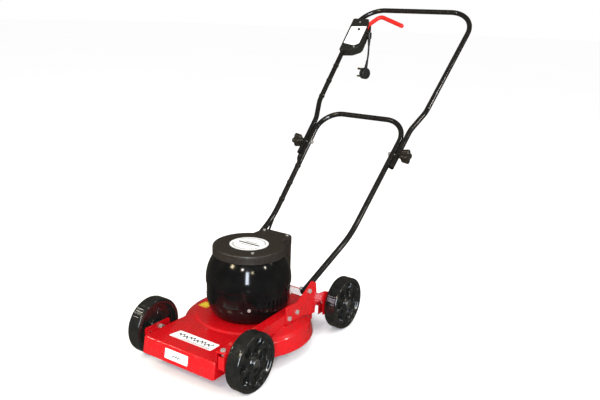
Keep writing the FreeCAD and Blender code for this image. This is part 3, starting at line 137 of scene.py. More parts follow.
# ---- shader helpers ----
def node_group(name, inputs, outputs):
    """An empty shader group with float inputs (name, default) and outputs (name, socket type)."""
    group = bpy.data.node_groups.new(name, "ShaderNodeTree")
    for label, value in inputs:
        socket = group.interface.new_socket(label, in_out="INPUT", socket_type="NodeSocketFloat")
        socket.default_value = value
    for label, kind in outputs:
        group.interface.new_socket(label, in_out="OUTPUT", socket_type=kind)
    return group


class Graph:
    """Short calls that add and join nodes in one tree."""

    def __init__(self, tree):
        self.tree = tree

    def add(self, kind, **settings):
        node = self.tree.nodes.new(kind)
        for key, value in settings.items():
            setattr(node, key, value)
        return node

    def link(self, source, target):
        self.tree.links.new(source, target)

    def feed(self, socket, value):
        if isinstance(value, bpy.types.NodeSocket):
            self.link(value, socket)
        else:
            socket.default_value = value

    def math(self, operation, a, b=0.0, c=0.0):
        node = self.add("ShaderNodeMath", operation=operation)
        for socket, value in zip(node.inputs, (a, b, c)):
            self.feed(socket, value)
        return node.outputs[0]

    def remap(self, value, low, high, to_low=0.0, to_high=1.0):
        node = self.add("ShaderNodeMapRange", interpolation_type="SMOOTHSTEP")
        for socket, item in zip(node.inputs, (value, low, high, to_low, to_high)):
            self.feed(socket, item)
        return node.outputs[0]

    def mix(self, factor, a, b):
        node = self.add("ShaderNodeMix", data_type="RGBA")
        self.feed(node.inputs[0], factor)
        self.feed(node.inputs[6], a)
        self.feed(node.inputs[7], b)
        return node.outputs[2]

    def noise(self, vector, scale, detail=4.0, roughness=0.55):
        node = self.add("ShaderNodeTexNoise")
        self.link(vector, node.inputs["Vector"])
        self.feed(node.inputs["Scale"], scale)
        node.inputs["Detail"].default_value = detail
        node.inputs["Roughness"].default_value = roughness
        return node.outputs["Fac"]

    def place(self, group, **values):
        node = self.add("ShaderNodeGroup", node_tree=group)
        for label, value in values.items():
            self.feed(node.inputs[label.replace("_", " ")], value)
        return node


def make_surface_grain():
    """Orange peel or moulding grain: fine and broad noise as a height, and a mottle mask."""
    group = node_group("surface_grain", [("Fine scale", 900.0), ("Broad scale", 60.0), ("Fine share", 0.5)],
                       [("Height", "NodeSocketFloat"), ("Mottle", "NodeSocketFloat")])
    g = Graph(group)
    inputs, outputs = g.add("NodeGroupInput"), g.add("NodeGroupOutput")
    place = g.add("ShaderNodeTexCoord").outputs["Object"]
    fine = g.noise(place, inputs.outputs["Fine scale"], 2.0)
    broad = g.noise(place, inputs.outputs["Broad scale"], 3.0)
    rest = g.math("SUBTRACT", 1.0, inputs.outputs["Fine share"])
    fine_part = g.math("MULTIPLY", fine, inputs.outputs["Fine share"])
    height = g.math("ADD", fine_part, g.math("MULTIPLY", broad, rest))
    g.link(height, outputs.inputs["Height"])
    g.link(g.remap(broad, 0.35, 0.65), outputs.inputs["Mottle"])
    return group


def make_handling_marks():
    """Fine straight scuffs and specks of dust as two masks."""
    group = node_group("handling_marks", [("Scuff scale", 90.0), ("Dust scale", 700.0)],
                       [("Scuffs", "NodeSocketFloat"), ("Dust", "NodeSocketFloat")])
    g = Graph(group)
    inputs, outputs = g.add("NodeGroupInput"), g.add("NodeGroupOutput")
    place = g.add("ShaderNodeTexCoord").outputs["Object"]
    turned = g.add("ShaderNodeMapping")
    g.link(place, turned.inputs["Vector"])
    turned.inputs["Rotation"].default_value = (0.4, 0.9, 0.6)
    turned.inputs["Scale"].default_value = (0.25, 5.0, 5.0)
    streak = g.noise(turned.outputs[0], inputs.outputs["Scuff scale"], 2.0, 0.4)
    patch = g.noise(place, 14.0, 2.0)
    scuffs = g.math("MULTIPLY", g.remap(streak, 0.66, 0.74), g.remap(patch, 0.5, 0.65))
    dust = g.remap(g.noise(place, inputs.outputs["Dust scale"], 1.0), 0.7, 0.78)
    g.link(scuffs, outputs.inputs["Scuffs"])
    g.link(dust, outputs.inputs["Dust"])
    return group


GRAIN = make_surface_grain()
MARKS = make_handling_marks()


def new_material(name):
    """A new material, short calls for its nodes, and its Principled shader."""
    material = bpy.data.materials.new(name)
    material.use_nodes = True
    graph = Graph(material.node_tree)
    shader = material.node_tree.nodes["Principled BSDF"]
    return material, graph, shader


def coated(name, colour, tint, roughness=0.2, coat=0.0, peel=0.05, fine=900.0, broad=60.0, share=0.5,
           metallic=0.0, scuff=0.12, dust=0.05, dust_colour=(0.5, 0.48, 0.44, 1), specular=0.5):
    """A painted or moulded finish: mottled colour, varied gloss, fine relief, scuffs and a little dust."""
    material, g, shader = new_material(name)
    grain = g.place(GRAIN, Fine_scale=fine, Broad_scale=broad, Fine_share=share)
    marks = g.place(MARKS)
    base = g.mix(grain.outputs["Mottle"], (*colour, 1), (*tint, 1))
    dusty = g.math("MULTIPLY", marks.outputs["Dust"], dust)
    g.link(g.mix(dusty, base, dust_colour), shader.inputs["Base Color"])
    gloss = g.remap(grain.outputs["Mottle"], 0.0, 1.0, roughness * 0.85, roughness * 1.15)
    gloss = g.math("ADD", gloss, g.math("MULTIPLY", marks.outputs["Scuffs"], scuff))
    g.link(gloss, shader.inputs["Roughness"])
    bump = g.add("ShaderNodeBump")
    bump.inputs["Strength"].default_value = peel
    bump.inputs["Distance"].default_value = 0.001
    g.link(grain.outputs["Height"], bump.inputs["Height"])
    g.link(bump.outputs[0], shader.inputs["Normal"])
    shader.inputs["Metallic"].default_value = metallic
    shader.inputs["Specular IOR Level"].default_value = specular
    shader.inputs["Coat Weight"].default_value = coat
    shader.inputs["Coat Roughness"].default_value = 0.04
    return material


def red_enamel():
    return coated("red_enamel", (0.50, 0.0025, 0.006), (0.44, 0.002, 0.005), roughness=0.26, coat=0.8,
                  peel=0.035, fine=420.0, broad=45.0, share=0.3, dust=0.02)


def black_enamel():
    return coated("black_tube_enamel", (0.006, 0.006, 0.006), (0.010, 0.009, 0.008), roughness=0.19, coat=0.4,
                  peel=0.015, fine=500.0, broad=80.0, dust=0.01, scuff=0.06)


def polished_cowl():
    return coated("polished_black_moulding", (0.003, 0.003, 0.0032), (0.005, 0.005, 0.005), roughness=0.14,
                  coat=0.2, peel=0.03, fine=300.0, broad=25.0, share=0.1, scuff=0.1, dust=0.02, specular=0.22)


def satin_lid():
    return coated("satin_lid_moulding", (0.017, 0.0135, 0.011), (0.023, 0.018, 0.0145), roughness=0.33,
                  peel=0.25, fine=1600.0, broad=90.0, share=0.8, dust=0.10)


def wheel_plastic():
    return coated("wheel_moulding", (0.007, 0.0075, 0.007), (0.011, 0.011, 0.010), roughness=0.17, coat=0.4,
                  peel=0.08, fine=700.0, broad=50.0, scuff=0.25, dust=0.10)


def knob_plastic():
    return coated("knob_moulding", (0.014, 0.012, 0.009), (0.018, 0.015, 0.010), roughness=0.22, peel=0.12,
                  fine=1200.0, broad=150.0)


def box_plastic():
    return coated("switch_box_moulding", (0.012, 0.012, 0.010), (0.016, 0.016, 0.013), roughness=0.25, peel=0.2,
                  fine=1500.0, broad=200.0, share=0.7)


def lever_plastic():
    return coated("red_lever_moulding", (0.60, 0.011, 0.006), (0.52, 0.009, 0.005), roughness=0.3, peel=0.1,
                  fine=900.0, broad=120.0)


def inner_plastic():
    return coated("plain_moulding", (0.05, 0.05, 0.05), (0.06, 0.06, 0.058), roughness=0.45, peel=0.2)


def plug_plastic():
    return coated("plug_moulding", (0.010, 0.010, 0.011), (0.014, 0.014, 0.014), roughness=0.42, peel=0.25,
                  fine=1600.0, broad=200.0, share=0.8)


def cord_sheath():
    return coated("cord_sheath", (0.008, 0.008, 0.008), (0.013, 0.013, 0.013), roughness=0.4, peel=0.2,
                  fine=1500.0, broad=250.0)


def zinc_plate():
    return coated("zinc_plate", (0.62, 0.60, 0.55), (0.52, 0.50, 0.46), roughness=0.28, metallic=0.6, peel=0.1,
                  fine=800.0, broad=180.0, scuff=0.2)


def cast_metal():
    return coated("cast_metal", (0.50, 0.50, 0.51), (0.40, 0.40, 0.41), roughness=0.5, metallic=1.0, peel=0.6,
                  fine=600.0, broad=120.0)


def ground_steel(name, shade):
    """Steel with the fine parallel scratches of grinding, and a faint dark stain."""
    material, g, shader = new_material(name)
    place = g.add("ShaderNodeTexCoord").outputs["Object"]
    along = g.add("ShaderNodeMapping")
    g.link(place, along.inputs["Vector"])
    along.inputs["Scale"].default_value = (1.0, 60.0, 60.0)
    scratches = g.noise(along.outputs[0], 60.0, 4.0, 0.7)
    stain = g.remap(g.noise(place, 25.0), 0.45, 0.7)
    g.link(g.mix(stain, (*shade, 1), tuple(0.6 * c for c in shade) + (1,)), shader.inputs["Base Color"])
    g.link(g.remap(scratches, 0.3, 0.7, 0.25, 0.5), shader.inputs["Roughness"])
    shader.inputs["Metallic"].default_value = 1.0
    bump = g.add("ShaderNodeBump")
    bump.inputs["Strength"].default_value = 0.2
    bump.inputs["Distance"].default_value = 0.0004
    g.link(scratches, bump.inputs["Height"])
    g.link(bump.outputs[0], shader.inputs["Normal"])
    return material


def layered(name, colour, gap_colour, pitch):
    """Thin metal layers or turns of wire: dark lines at a fixed pitch up the height."""
    material, g, shader = new_material(name)
    place = g.add("ShaderNodeTexCoord").outputs["Object"]
    parts = g.add("ShaderNodeSeparateXYZ")
    g.link(place, parts.inputs[0])
    wave = g.math("SINE", g.math("MULTIPLY", parts.outputs["Z"], 2 * math.pi / pitch))
    line = g.remap(wave, 0.5, 0.95)
    g.link(g.mix(line, (*colour, 1), (*gap_colour, 1)), shader.inputs["Base Color"])
    g.link(g.remap(g.noise(place, 200.0), 0.3, 0.7, 0.3, 0.5), shader.inputs["Roughness"])
    shader.inputs["Metallic"].default_value = 1.0
    bump = g.add("ShaderNodeBump", invert=True)
    bump.inputs["Strength"].default_value = 0.4
    bump.inputs["Distance"].default_value = 0.0004
    g.link(line, bump.inputs["Height"])
    g.link(bump.outputs[0], shader.inputs["Normal"])
    return material


def brass_pin():
    return coated("turned_brass", (0.72, 0.52, 0.20), (0.62, 0.43, 0.16), roughness=0.25, metallic=1.0,
                  peel=0.1)


# ---- printed films ----
def in_band(g, value, low, high, soft=0.0003):
    """1 where a value lies between two limits, with a soft edge."""
    rise = g.remap(value, low - soft, low + soft)
    fall = g.remap(value, high - soft, high + soft)
    return g.math("SUBTRACT", rise, fall)


def film(name, paper, marks):
    """A printed film: marks is a list of (mask builder, ink colour), laid over the paper in turn."""
    material, g, shader = new_material(name)
    place = g.add("ShaderNodeTexCoord").outputs["Object"]
    parts = g.add("ShaderNodeSeparateXYZ")
    g.link(place, parts.inputs[0])
    x, y, z = parts.outputs
    mottle = g.remap(g.noise(place, 120.0), 0.3, 0.7)
    colour = g.mix(mottle, (*paper, 1), tuple(0.94 * c for c in paper) + (1,))
    for build, ink in marks:
        colour = g.mix(build(g, x, y, z), colour, (*ink, 1))
    g.link(colour, shader.inputs["Base Color"])
    g.link(g.remap(g.noise(place, 300.0), 0.3, 0.7, 0.25, 0.38), shader.inputs["Roughness"])
    bump = g.add("ShaderNodeBump")
    bump.inputs["Strength"].default_value = 0.05
    bump.inputs["Distance"].default_value = 0.0005
    g.link(mottle, bump.inputs["Height"])
    g.link(bump.outputs[0], shader.inputs["Normal"])
    return material


def both(g, *masks):
    """The product of masks."""
    result = masks[0]
    for mask in masks[1:]:
        result = g.math("MULTIPLY", result, mask)
    return result


def dashes(g, value, pitch, share):
    """Evenly spaced dashes along a value."""
    phase = g.math("FRACT", g.math("DIVIDE", value, pitch))
    return g.math("LESS_THAN", phase, share)


INK = (0.02, 0.02, 0.022)
GREY_INK = (0.25, 0.25, 0.26)
DARK_RED_INK = (0.35, 0.02, 0.02)
TOP_LABELS = (0.0985, 0.103)    # heights between which the labels on the deck's top lie
FRONT_LABELS_END = -0.55        # the front labels lie before this
REAR_LABEL_START = -0.3         # and the rating label behind this


def badge_ring(g, x, y, z):
    """A thin circle and a ring of short ticks, round the motor's axis."""
    radius = polar_radius(g, x, y)
    turn = g.math("ARCTAN2", g.math("SUBTRACT", y, MOTOR.y), x)
    circle = in_band(g, radius, 0.0555, 0.0562)
    ticks = both(g, in_band(g, radius, 0.0465, 0.0522), dashes(g, turn, math.radians(7.5), 0.55))
    gap = g.math("GREATER_THAN", g.math("ABSOLUTE", g.math("SINE", turn)), 0.35)
    return g.math("MAXIMUM", circle, both(g, ticks, gap))


def polar_radius(g, x, y):
    """Distance from the motor's axis."""
    off = g.math("SUBTRACT", y, MOTOR.y)
    return g.math("SQRT", g.math("ADD", g.math("MULTIPLY", x, x), g.math("MULTIPLY", off, off)))


def badge_bars(g, x, y, z):
    """Three short bars across the middle of the badge."""
    bars = None
    for shift, half, thick in ((0.012, 0.026, 0.0020), (0.0, 0.040, 0.0042), (-0.013, 0.022, 0.0016)):
        across = in_band(g, y, MOTOR.y + shift - thick, MOTOR.y + shift + thick)
        bar = both(g, across, in_band(g, x, -half, half))
        bars = bar if bars is None else g.math("MAXIMUM", bars, bar)
    return bars


def badge_film():
    return film("badge_film", (0.84, 0.84, 0.83), [(badge_ring, INK), (badge_bars, INK)])


def deck_label_marks(g, x, y, z):
    """A wavy stroke and a fine dashed bar on the top label, and a short wavy stroke on the face's label."""
    top = in_band(g, z, *TOP_LABELS)
    front = g.math("LESS_THAN", y, FRONT_LABELS_END)
    wave = g.math("MULTIPLY", g.math("SINE", g.math("MULTIPLY", x, 470)), 0.0052)
    slow = g.math("MULTIPLY", g.math("SINE", g.math("MULTIPLY", x, 170)), 0.0025)
    swung = g.math("ADD", y, g.math("ADD", wave, slow))
    wide = both(g, top, front, in_band(g, swung, -0.6362, -0.6286), in_band(g, x, -0.060, 0.066))
    fine = both(g, top, front, in_band(g, y, -0.6490, -0.6462), in_band(g, x, -0.030, 0.068),
                dashes(g, g.math("ADD", x, 1.0), 0.0070, 0.7))
    ripple = g.math("ADD", z, g.math("MULTIPLY", g.math("SINE", g.math("MULTIPLY", x, 700)), 0.0028))
    face = both(g, front, in_band(g, ripple, 0.0720, 0.0768), in_band(g, x, -0.020, 0.012))
    return g.math("MAXIMUM", g.math("MAXIMUM", wide, fine), face)


def deck_label_red(g, x, y, z):
    """A red bar along the foot of the top label and a dashed table on the rating label."""
    top = in_band(g, z, *TOP_LABELS)
    front = g.math("LESS_THAN", y, FRONT_LABELS_END)
    foot = both(g, top, front, in_band(g, y, -0.6530, -0.6512), in_band(g, x, -0.066, 0.070))
    rear = g.math("GREATER_THAN", y, REAR_LABEL_START)
    table = both(g, top, rear, in_band(g, x, -0.008, 0.060), dashes(g, y, 0.0062, 0.22))
    return g.math("MAXIMUM", foot, table)


def deck_film():
    return film("deck_label_film", (0.86, 0.86, 0.85),
                [(deck_label_marks, INK), (deck_label_red, DARK_RED_INK)])


def caution_film():
    """Yellow film with a plain dark border."""
    low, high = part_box("caution_label")
    inset, line = 0.003, 0.0012

    def panel(g, x, y, margin):
        return both(g, in_band(g, x, low.x + margin, high.x - margin),
                    in_band(g, y, low.y + margin, high.y - margin))

    def border(g, x, y, z):
        return g.math("SUBTRACT", panel(g, x, y, inset), panel(g, x, y, inset + line))
    return film("caution_film", (0.72, 0.50, 0.02), [(border, INK)])


def switch_film():
    """White face plate with a ring round the button and a thin line below it."""
    button = Vector(JOINTS["button_press"]["pos_m"])

    def ring(g, x, y, z):
        dx = g.math("SUBTRACT", x, button.x)
        along = g.math("ADD", g.math("MULTIPLY", y, LEG_DIR.y), g.math("MULTIPLY", z, LEG_DIR.z))
        down = g.math("SUBTRACT", along, button.dot(LEG_DIR))
        radius = g.math("SQRT", g.math("ADD", g.math("MULTIPLY", dx, dx), g.math("MULTIPLY", down, down)))
        circle = in_band(g, radius, 0.0095, 0.0108)
        line = both(g, in_band(g, down, -0.045, -0.0435), in_band(g, dx, -0.022, 0.028))
        return g.math("MAXIMUM", circle, line)
    return film("switch_film", (0.84, 0.84, 0.82), [(ring, GREY_INK)])


# ---- detailed pieces ----
def wheel_piece(node):
    """A wheel as one closed surface of revolution about the axle.

    A profile of (radius, place along the axle) runs from the bore out over the inner face, the
    tread and the outer face and back. On the outer face the depth follows the angle: six
    pockets sink between the spokes. On the tread the radius dips at shallow cross grooves."""
    low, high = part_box(node)
    middle = (low + high) / 2
    out = 1.0 if middle.x > 0 else -1.0
    radius = (high.z - low.z) / 2
    inner, outer = (low.x, high.x) if out > 0 else (high.x, low.x)
    width = abs(outer - inner)
    bore, hub, spokes, grooves = 0.00643, 0.019, 6, 48
    pocket_depth, rib_height, groove_depth = 0.0155, 0.0022, 0.0008
    profile = [(bore, 0.0), (hub - 0.001, 0.0), (hub, 0.001), (hub, 0.014), (0.024, 0.0145), (0.045, 0.0145),
               (0.066, 0.0145), (radius - 0.0155, 0.013), (radius - 0.0145, 0.001), (radius - 0.013, 0.0),
               (radius - 0.006, 0.0), (radius - 0.0025, 0.0008), (radius - 0.001, 0.0028), (radius, 0.006),
               (radius, 0.010), (radius, width / 2), (radius, width - 0.011), (radius, width - 0.0075),
               (radius - 0.0009, width - 0.0040), (radius - 0.0030, width - 0.0014),
               (radius - 0.0060, width - 0.0002), (radius - 0.0090, width), (radius - 0.0118, width - 0.0006),
               (radius - 0.0135, width - 0.0028), (radius - 0.0150, width - 0.0075)]
    profile += [(r, dish_depth(r, radius, width)) for r in np.linspace(radius - 0.0165, hub + 0.0035, 44)]
    profile += [(hub + 0.0012, width - 0.0105), (hub, width - 0.0085), (hub - 0.0008, width - 0.0068),
                (hub - 0.0022, width - 0.006), (bore + 0.006, width - 0.006), (bore, width - 0.006)]
    profile = dense(profile, 0.0016)
    r, x = np.array(profile).T
    turn = np.linspace(0, 2 * math.pi, 288, endpoint=False)
    rr, tt = np.meshgrid(r, turn, indexing="ij")
    xx = np.broadcast_to(x[:, None], rr.shape).copy()
    on_face = ramp(xx, width * 0.45, width * 0.5) * (rr < radius - 0.0145)
    lobe = 0.5 + 0.5 * np.cos(spokes * tt)
    window = ramp(rr, 0.0262, 0.0300) * (1 - ramp(rr, radius - 0.0225, radius - 0.0190))
    side = ramp(lobe, 0.20 + 0.10 * (0.045 / rr), 0.31 + 0.10 * (0.045 / rr))
    xx -= on_face * window * side * pocket_depth
    xx += on_face * window * (1 - ramp(lobe, 0.0, 0.12)) * rib_height
    tread = ramp(xx, 0.0075, 0.009) * (1 - ramp(xx, width - 0.0105, width - 0.009)) * (rr > radius - 0.0005)
    groove = ramp(np.cos(grooves * tt), 0.90, 0.97)
    rr = rr - tread * groove * groove_depth
    points = np.stack([inner + out * xx, middle.y + rr * np.cos(tt), middle.z + rr * np.sin(tt)], -1)
    faces = grid_faces(len(r), len(turn), wrap_rows=True, wrap_columns=True)
    if out < 0:
        faces = faces[:, ::-1]
    return add_piece(node + "_moulding", points.reshape(-1, 3), faces)


def dish_depth(r, radius, width):
    """Outer face of a wheel between rim and hub: it sinks to a shallow dish and rises at the hub."""
    t = (r - 0.0225) / (radius - 0.0165 - 0.0225)
    return width - 0.0165 + 0.0055 * t ** 3 + 0.0045 * (1 - t) ** 4


def dense(profile, step):
    """The same profile with points added so that none are further apart than the step."""
    result = [profile[0]]
    for start, end in zip(profile, profile[1:]):
        count = max(1, int(math.dist(start, end) / step))
        result += [tuple(np.array(start) + (np.array(end) - start) * k / count) for k in range(1, count + 1)]
    return result


def knob_piece(node):
    """A winged hand knob: its radius swells with four lobes that flare away from the tube."""
    low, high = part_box(node)
    middle = (low + high) / 2
    out = 1.0 if middle.x > 0 else -1.0
    start, end = (low.x, high.x) if out > 0 else (high.x, low.x)
    length, reach = abs(end - start), (high.z - low.z) / 2 - 0.0002
    u = np.concatenate([np.linspace(0, 0.3, 22), np.linspace(0.3, 0.86, 20)[1:],
                        np.linspace(0.86, 1, 18)[1:]])
    turn = np.linspace(0, 2 * math.pi, 192, endpoint=False)
    uu, tt = np.meshgrid(u, turn, indexing="ij")
    wings, neck = 4, 0.0108
    lobe = (0.5 + 0.5 * np.cos(wings * tt)) ** 0.75
    flare = ramp(uu, 0.03, 0.30) * (0.80 + 0.20 * ramp(uu, 0.25, 0.95))
    valley = 0.0135 + 0.0022 * uu
    rr = neck + (valley + (reach - valley) * lobe - neck) * flare
    rr = rr * (0.82 + 0.18 * np.sqrt(1 - np.clip((uu - 0.88) / 0.12, 0, 1) ** 2))
    rings = [np.stack([start + out * uu * length, middle.y + rr * np.cos(tt), middle.z + rr * np.sin(tt)], -1)]
    crown = np.array([end - out * 0.0016, middle.y, middle.z])
    rings += [(crown + (rings[0][-1] - crown) * share)[None] for share in (0.75, 0.5, 0.25)]
    rings = np.concatenate(rings)
    count = len(turn)
    faces = grid_faces(len(rings), count, wrap_columns=True).tolist()
    last = (len(rings) - 1) * count
    faces += [[last + j, last + (j + 1) % count, last + count] for j in range(count)]
    faces.append(list(range(count))[::-1])
    if out < 0:
        faces = [face[::-1] for face in faces]
    return add_piece(node + "_grip", np.vstack([rings.reshape(-1, 3), crown]), faces)


def ribbed_sleeve(name, start, end, start_radius, end_radius, ribs):
    """A tapered sleeve from start to end whose radius steps in at evenly spaced grooves."""
    count = 120
    t = np.linspace(0, 1, count)
    route = np.array(start)[None] + (np.array(end) - np.array(start))[None] * t[:, None]
    radius = start_radius + (end_radius - start_radius) * t
    inside = ramp(t, 0.10, 0.14) * (1 - ramp(t, 0.86, 0.90))
    radius = radius - inside * ramp(np.cos(2 * math.pi * ribs * t), 0.0, 0.5) * 0.0011
    radius = radius * (1 - 0.12 * (1 - ramp(t, 0.0, 0.03)) - 0.12 * ramp(t, 0.97, 1.0))
    return tube_piece(name, route, radius, 40)


# ---- cord and leads ----
CORD_RADIUS = 0.00375
BOOT_LENGTH = 0.0325
LEAD_BEHIND = 0.0126                       # the lead's middle, behind the leg's
LEAD_LIFTS = (-0.114, -0.230, 0.2335)      # where the lead leaves the duct's side
CORD_POINTS = [(-0.16442, 0.60728, 0.87956), (-0.16442, 0.60728, 0.85756), (-0.16562, 0.60828, 0.83556),
               (-0.16902, 0.60938, 0.81756)]


def cord_curve():
    """The supply cord: a smooth spline with the route's points as its control points."""
    curve = bpy.data.curves.new("supply_cord_line", "CURVE")
    curve.dimensions = "3D"
    curve.resolution_u = 24
    curve.bevel_depth = 1.0
    curve.bevel_resolution = 8
    curve.use_fill_caps = True
    spline = curve.splines.new("NURBS")
    spline.points.add(len(CORD_POINTS) - 1)
    for point, place in zip(spline.points, CORD_POINTS):
        point.co = (*place, 1.0)
        point.radius = CORD_RADIUS
    spline.order_u = 3
    spline.use_endpoint_u = True
    piece = bpy.data.objects.new("supply_cord_flex", curve)
    bpy.context.scene.collection.objects.link(piece)
    return piece


def dress_cord(materials):
    """The cord, its ribbed relief and boot, and the plug's pieces that go with it."""
    cord = cord_curve()
    low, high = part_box("strain_relief")
    relief = ribbed_sleeve("strain_relief_sleeve", (CORD_POINTS[0][0], CORD_POINTS[0][1], high.z - 0.0001),
                           CORD_POINTS[0], 0.0069, 0.0049, 6)
    entry = Vector(CORD_POINTS[-1])
    boot_way = (entry - Vector(CORD_POINTS[-2])).normalized()
    boot = ribbed_sleeve("plug_boot_sleeve", tuple(entry), tuple(entry + boot_way * BOOT_LENGTH),
                         0.0047, 0.0071, 5)
    for piece, node in ((cord, "supply_cord"), (relief, "strain_relief"), (boot, "plug_boot")):
        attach(piece, "upper_handle")
        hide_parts(node)
        piece.data.materials.append(materials["cord"])


def lead_at(along):
    """Middle of the motor lead behind the right-hand leg, from millimetres along the leg's slope."""
    if along <= 233:
        half = 164.5 + 21 / 488 * along
    elif along < 500:
        half = 184.1 + 21 / 488 * along
    else:
        half = 230 + 30 / 501 * (along - 540)
    return Vector((-half / 1000, 0, 0)) + BEND + LEG_DIR * (along / 1000) - LEG_NORMAL * LEAD_BEHIND


def dress_leads(materials):
    """The motor lead: fixed pieces at the handle's foot and at the fold, and pieces clipped to the legs between
    that go with the lower and upper handle.
    """
    stations = (55, 90, 140, 190, 233, 272, 310, 350, 400, 450, 545, 600, 700, 799)
    route = smooth_route([lead_at(along) for along in stations], 340)
    reach = (route - np.array(BEND)) @ np.array(LEG_DIR) * 1000
    spans = (("lead_on_lower_leg", 0, 246), ("lead_at_fold", 244, 551), ("lead_on_upper_leg", 549, 900))
    pieces = {name: tube_piece(name, route[(reach >= low) & (reach <= high)], CORD_RADIUS, 24)
              for name, low, high in spans}
    flex = smooth_route([(-0.063, -0.248117, 0.236), (-0.100, -0.248117, 0.236), LEAD_LIFTS,
                         (-0.122, -0.163117, 0.2245), (-0.146, -0.100, 0.2410), lead_at(8), lead_at(40),
                         lead_at(55.6)], 150)
    pieces["lead_at_foot"] = tube_piece("lead_at_foot", flex, CORD_RADIUS, 24)
    for piece in pieces.values():
        piece.data.materials.append(materials["cord"])
    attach(pieces["lead_on_lower_leg"], "lower_handle")
    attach(pieces["lead_on_upper_leg"], "upper_handle")
    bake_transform(pieces["lead_at_fold"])
    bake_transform(pieces["lead_at_foot"])
    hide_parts("handle_lead")
    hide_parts("switch_lead")
    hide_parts("motor_lead")


# ---- finishes ----
def dress_nodes(materials):
    """Gives every CAD node that stays in view its finish."""
    finish = {
        "deck_shell": "red", "frame_struts": "red", "side_rail_left": "red", "side_rail_right": "red",
        "front_bracket_left": "red", "front_bracket_right": "red", "rear_plate_left": "red",
        "rear_plate_right": "red", "deck_labels": "deck_film", "caution_label": "caution_film",
        "chassis_bolts": "zinc", "axle_bolts": "steel", "axle_nuts": "zinc", "pivot_bolts": "zinc",
        "lower_end_shield": "cast", "upper_end_shield": "cast", "stator_core": "laminations",
        "stator_windings": "copper", "shaft_bearings": "bearing", "run_capacitor": "cast",
        "motor_cowl": "cowl", "cover_screws": "zinc", "motor_lid": "lid", "lid_badge": "badge_film",
        "rear_duct": "lid",
        "cable_gland": "inner", "motor_lead": "cord", "motor_shaft": "steel", "rotor_core": "laminations",
        "cooling_fan": "inner", "blade_boss": "cast", "blade": "blade", "blade_bolt": "zinc",
        "lower_handle": "tube", "clamp_bolts": "zinc", "lower_lead_clips": "knob", "handle_lead": "cord",
        "upper_handle": "tube", "upper_lead_clips": "knob", "switch_lead": "cord", "switch_box_front": "box",
        "switch_box_back": "box", "switch_label": "switch_film", "switch_button": "knob",
        "micro_switch": "inner",
        "box_screws": "zinc", "switch_lever": "lever", "lever_pin": "steel", "lever_spring": "steel",
        "strain_relief": "cord", "supply_cord": "cord", "plug_boot": "cord", "plug_body": "plug",
        "plug_pins": "brass", "knob_left": "knob", "knob_right": "knob", "wheel_front_left": "wheel",
        "wheel_front_right": "wheel", "wheel_rear_left": "wheel", "wheel_rear_right": "wheel",
    }
    for name, node in NODES.items():
        node.data.materials.clear()
        node.data.materials.append(materials[finish[name]])


def make_materials():
    """Every finish, by the short name that dress_nodes uses."""
    return {
        "red": red_enamel(), "tube": black_enamel(), "cowl": polished_cowl(), "lid": satin_lid(),
        "wheel": wheel_plastic(), "knob": knob_plastic(), "box": box_plastic(), "lever": lever_plastic(),
        "inner": inner_plastic(), "plug": plug_plastic(), "cord": cord_sheath(), "zinc": zinc_plate(),
        "cast": cast_metal(), "steel": ground_steel("ground_steel", (0.5, 0.5, 0.5)),
        "blade": ground_steel("oiled_blade_steel", (0.28, 0.28, 0.29)),
        "laminations": layered("varnished_laminations", (0.28, 0.28, 0.30), (0.08, 0.08, 0.08), 0.0010),
        "copper": layered("enamelled_wire", (0.70, 0.30, 0.12), (0.30, 0.10, 0.04), 0.0012),
        "bearing": layered("bearing_ring", (0.55, 0.55, 0.55), (0.40, 0.40, 0.40), 0.0055),
        "brass": brass_pin(), "badge_film": badge_film(), "deck_film": deck_film(),
        "caution_film": caution_film(), "switch_film": switch_film(),
    }


# ---- floor, light and camera ----
LAMP_DISTANCE = 3
# turn about the motor and rise in degrees, side in metres, watts, colour
CEILING_LAMPS = (
    (-55, 38, 0.26, 9, (1.0, 0.93, 0.8)), (-18, 38, 0.40, 20, (1.0, 0.84, 0.55)),
    (18, 38, 0.26, 12, (1.0, 0.95, 0.85)), (49, 31, 0.30, 6, (1.0, 0.85, 0.6)),
    (92, 36, 0.26, 8, (1.0, 0.93, 0.8)), (119, 38, 0.24, 8, (1.0, 0.95, 0.9)),
)
CAMERA_PLACE = (1.1909, -1.91622, 0.9995)
CAMERA_TURN, CAMERA_PITCH, CAMERA_ROLL = 33.5, 15.5, 1.9
CAMERA_LENS, CAMERA_SENSOR = 40.45, 36.0


def make_stage():
    """A plain pale floor, far larger than the mower."""
    floor = add_piece("floor", [(-40, -40, 0), (40, -40, 0), (40, 40, 0), (-40, 40, 0)], [[0, 1, 2, 3]], False)
    material, g, shader = new_material("pale_floor")
    place = g.add("ShaderNodeTexCoord").outputs["Object"]
    tone = g.noise(place, 0.6, 2.0)
    g.link(g.mix(tone, (0.97, 0.97, 0.97, 1), (0.99, 0.99, 0.99, 1)), shader.inputs["Base Color"])
    shader.inputs["Roughness"].default_value = 0.9
    shader.inputs["Specular IOR Level"].default_value = 0.0
    floor.data.materials.append(material)
    floor.visible_glossy = False


def soft_light(name, place, aim, size, power, colour=(1, 1, 1)):
    """A rectangular soft lamp that faces a point."""
    lamp = bpy.data.lights.new(name, "AREA")
    lamp.shape = "RECTANGLE"
    lamp.size, lamp.size_y = size
    lamp.energy = power
    lamp.color = colour
    holder = bpy.data.objects.new(name, lamp)
    holder.location = place
    holder.rotation_euler = (Vector(aim) - Vector(place)).to_track_quat("-Z", "Y").to_euler()
    bpy.context.scene.collection.objects.link(holder)
    return holder


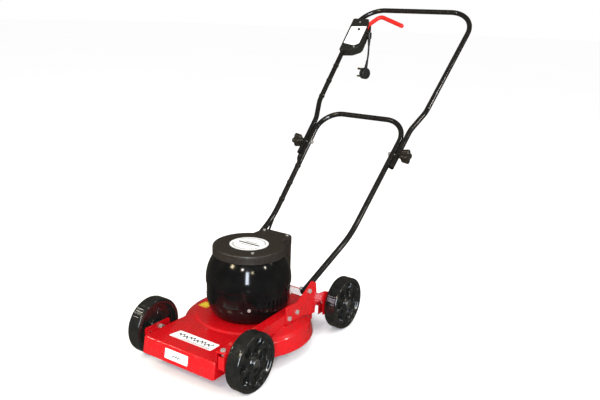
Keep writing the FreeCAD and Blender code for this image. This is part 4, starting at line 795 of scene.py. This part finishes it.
def make_light():
    """A white surround that shows dark in reflections, soft lamps, and small lamps for the highlights."""
    world = bpy.data.worlds.new("studio")
    bpy.context.scene.world = world
    world.use_nodes = True
    g = Graph(world.node_tree)
    background = world.node_tree.nodes["Background"]
    rays = g.add("ShaderNodeLightPath")
    surround = g.mix(rays.outputs["Is Glossy Ray"], (1, 1, 1, 1), (0.085, 0.075, 0.060, 1))
    g.link(surround, background.inputs["Color"])
    background.inputs["Strength"].default_value = 1.0
    aim = (0.0, -0.35, 0.2)
    for name, place, size, power in (("overhead", (0.3, -0.6, 3.2), (2.6, 2.2), 20),
                                     ("left_bank", (3.2, -0.8, 2.0), (1.2, 1.6), 8),
                                     ("back_rim", (-1.4, 2.6, 2.6), (1.6, 1.2), 8)):
        soft_light(name, place, aim, size, power).visible_glossy = False
    soft_light("front_window", (1.9, -3.2, 1.2), (0, -0.39, 0.25), (0.46, 2.0), 110, (0.80, 0.88, 1.0))
    for turn, rise, size, power, colour in CEILING_LAMPS:
        turn, rise = math.radians(turn), math.radians(rise)
        way = Vector((math.sin(turn) * math.cos(rise), -math.cos(turn) * math.cos(rise), math.sin(rise)))
        soft_light("ceiling_lamp", MOTOR + way * LAMP_DISTANCE, MOTOR, (size, size), power, colour)


def make_camera():
    """The camera: its place, its turn about the mower, its downward pitch and a slight roll."""
    turn, pitch, roll = (math.radians(v) for v in (CAMERA_TURN, CAMERA_PITCH, CAMERA_ROLL))
    right = Vector((math.cos(turn), math.sin(turn), 0))
    back = Vector((math.sin(turn) * math.cos(pitch), -math.cos(turn) * math.cos(pitch), math.sin(pitch)))
    up = back.cross(right)
    right, up = (right * math.cos(roll) + up * math.sin(roll),
                 up * math.cos(roll) - right * math.sin(roll))
    camera = bpy.data.objects.new("camera", bpy.data.cameras.new("camera"))
    camera.data.lens = CAMERA_LENS
    camera.data.sensor_width = CAMERA_SENSOR
    camera.data.clip_end = 100.0
    spin = Matrix((right, up, back)).transposed().to_4x4()
    camera.matrix_world = Matrix.Translation(CAMERA_PLACE) @ spin
    bpy.context.scene.collection.objects.link(camera)
    bpy.context.scene.camera = camera
    bpy.context.scene.view_settings.view_transform = "Standard"


MATERIALS = make_materials()
dress_nodes(MATERIALS)
dress_cord(MATERIALS)
dress_leads(MATERIALS)
for wheel in WHEELS:
    moulding = wheel_piece(wheel)
    moulding.data.materials.append(MATERIALS["wheel"])
    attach(moulding, wheel)
    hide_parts(wheel)
for knob in KNOBS:
    grip = knob_piece(knob)
    grip.data.materials.append(MATERIALS["knob"])
    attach(grip, knob)
    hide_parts(knob)
make_stage()
make_light()
make_camera()
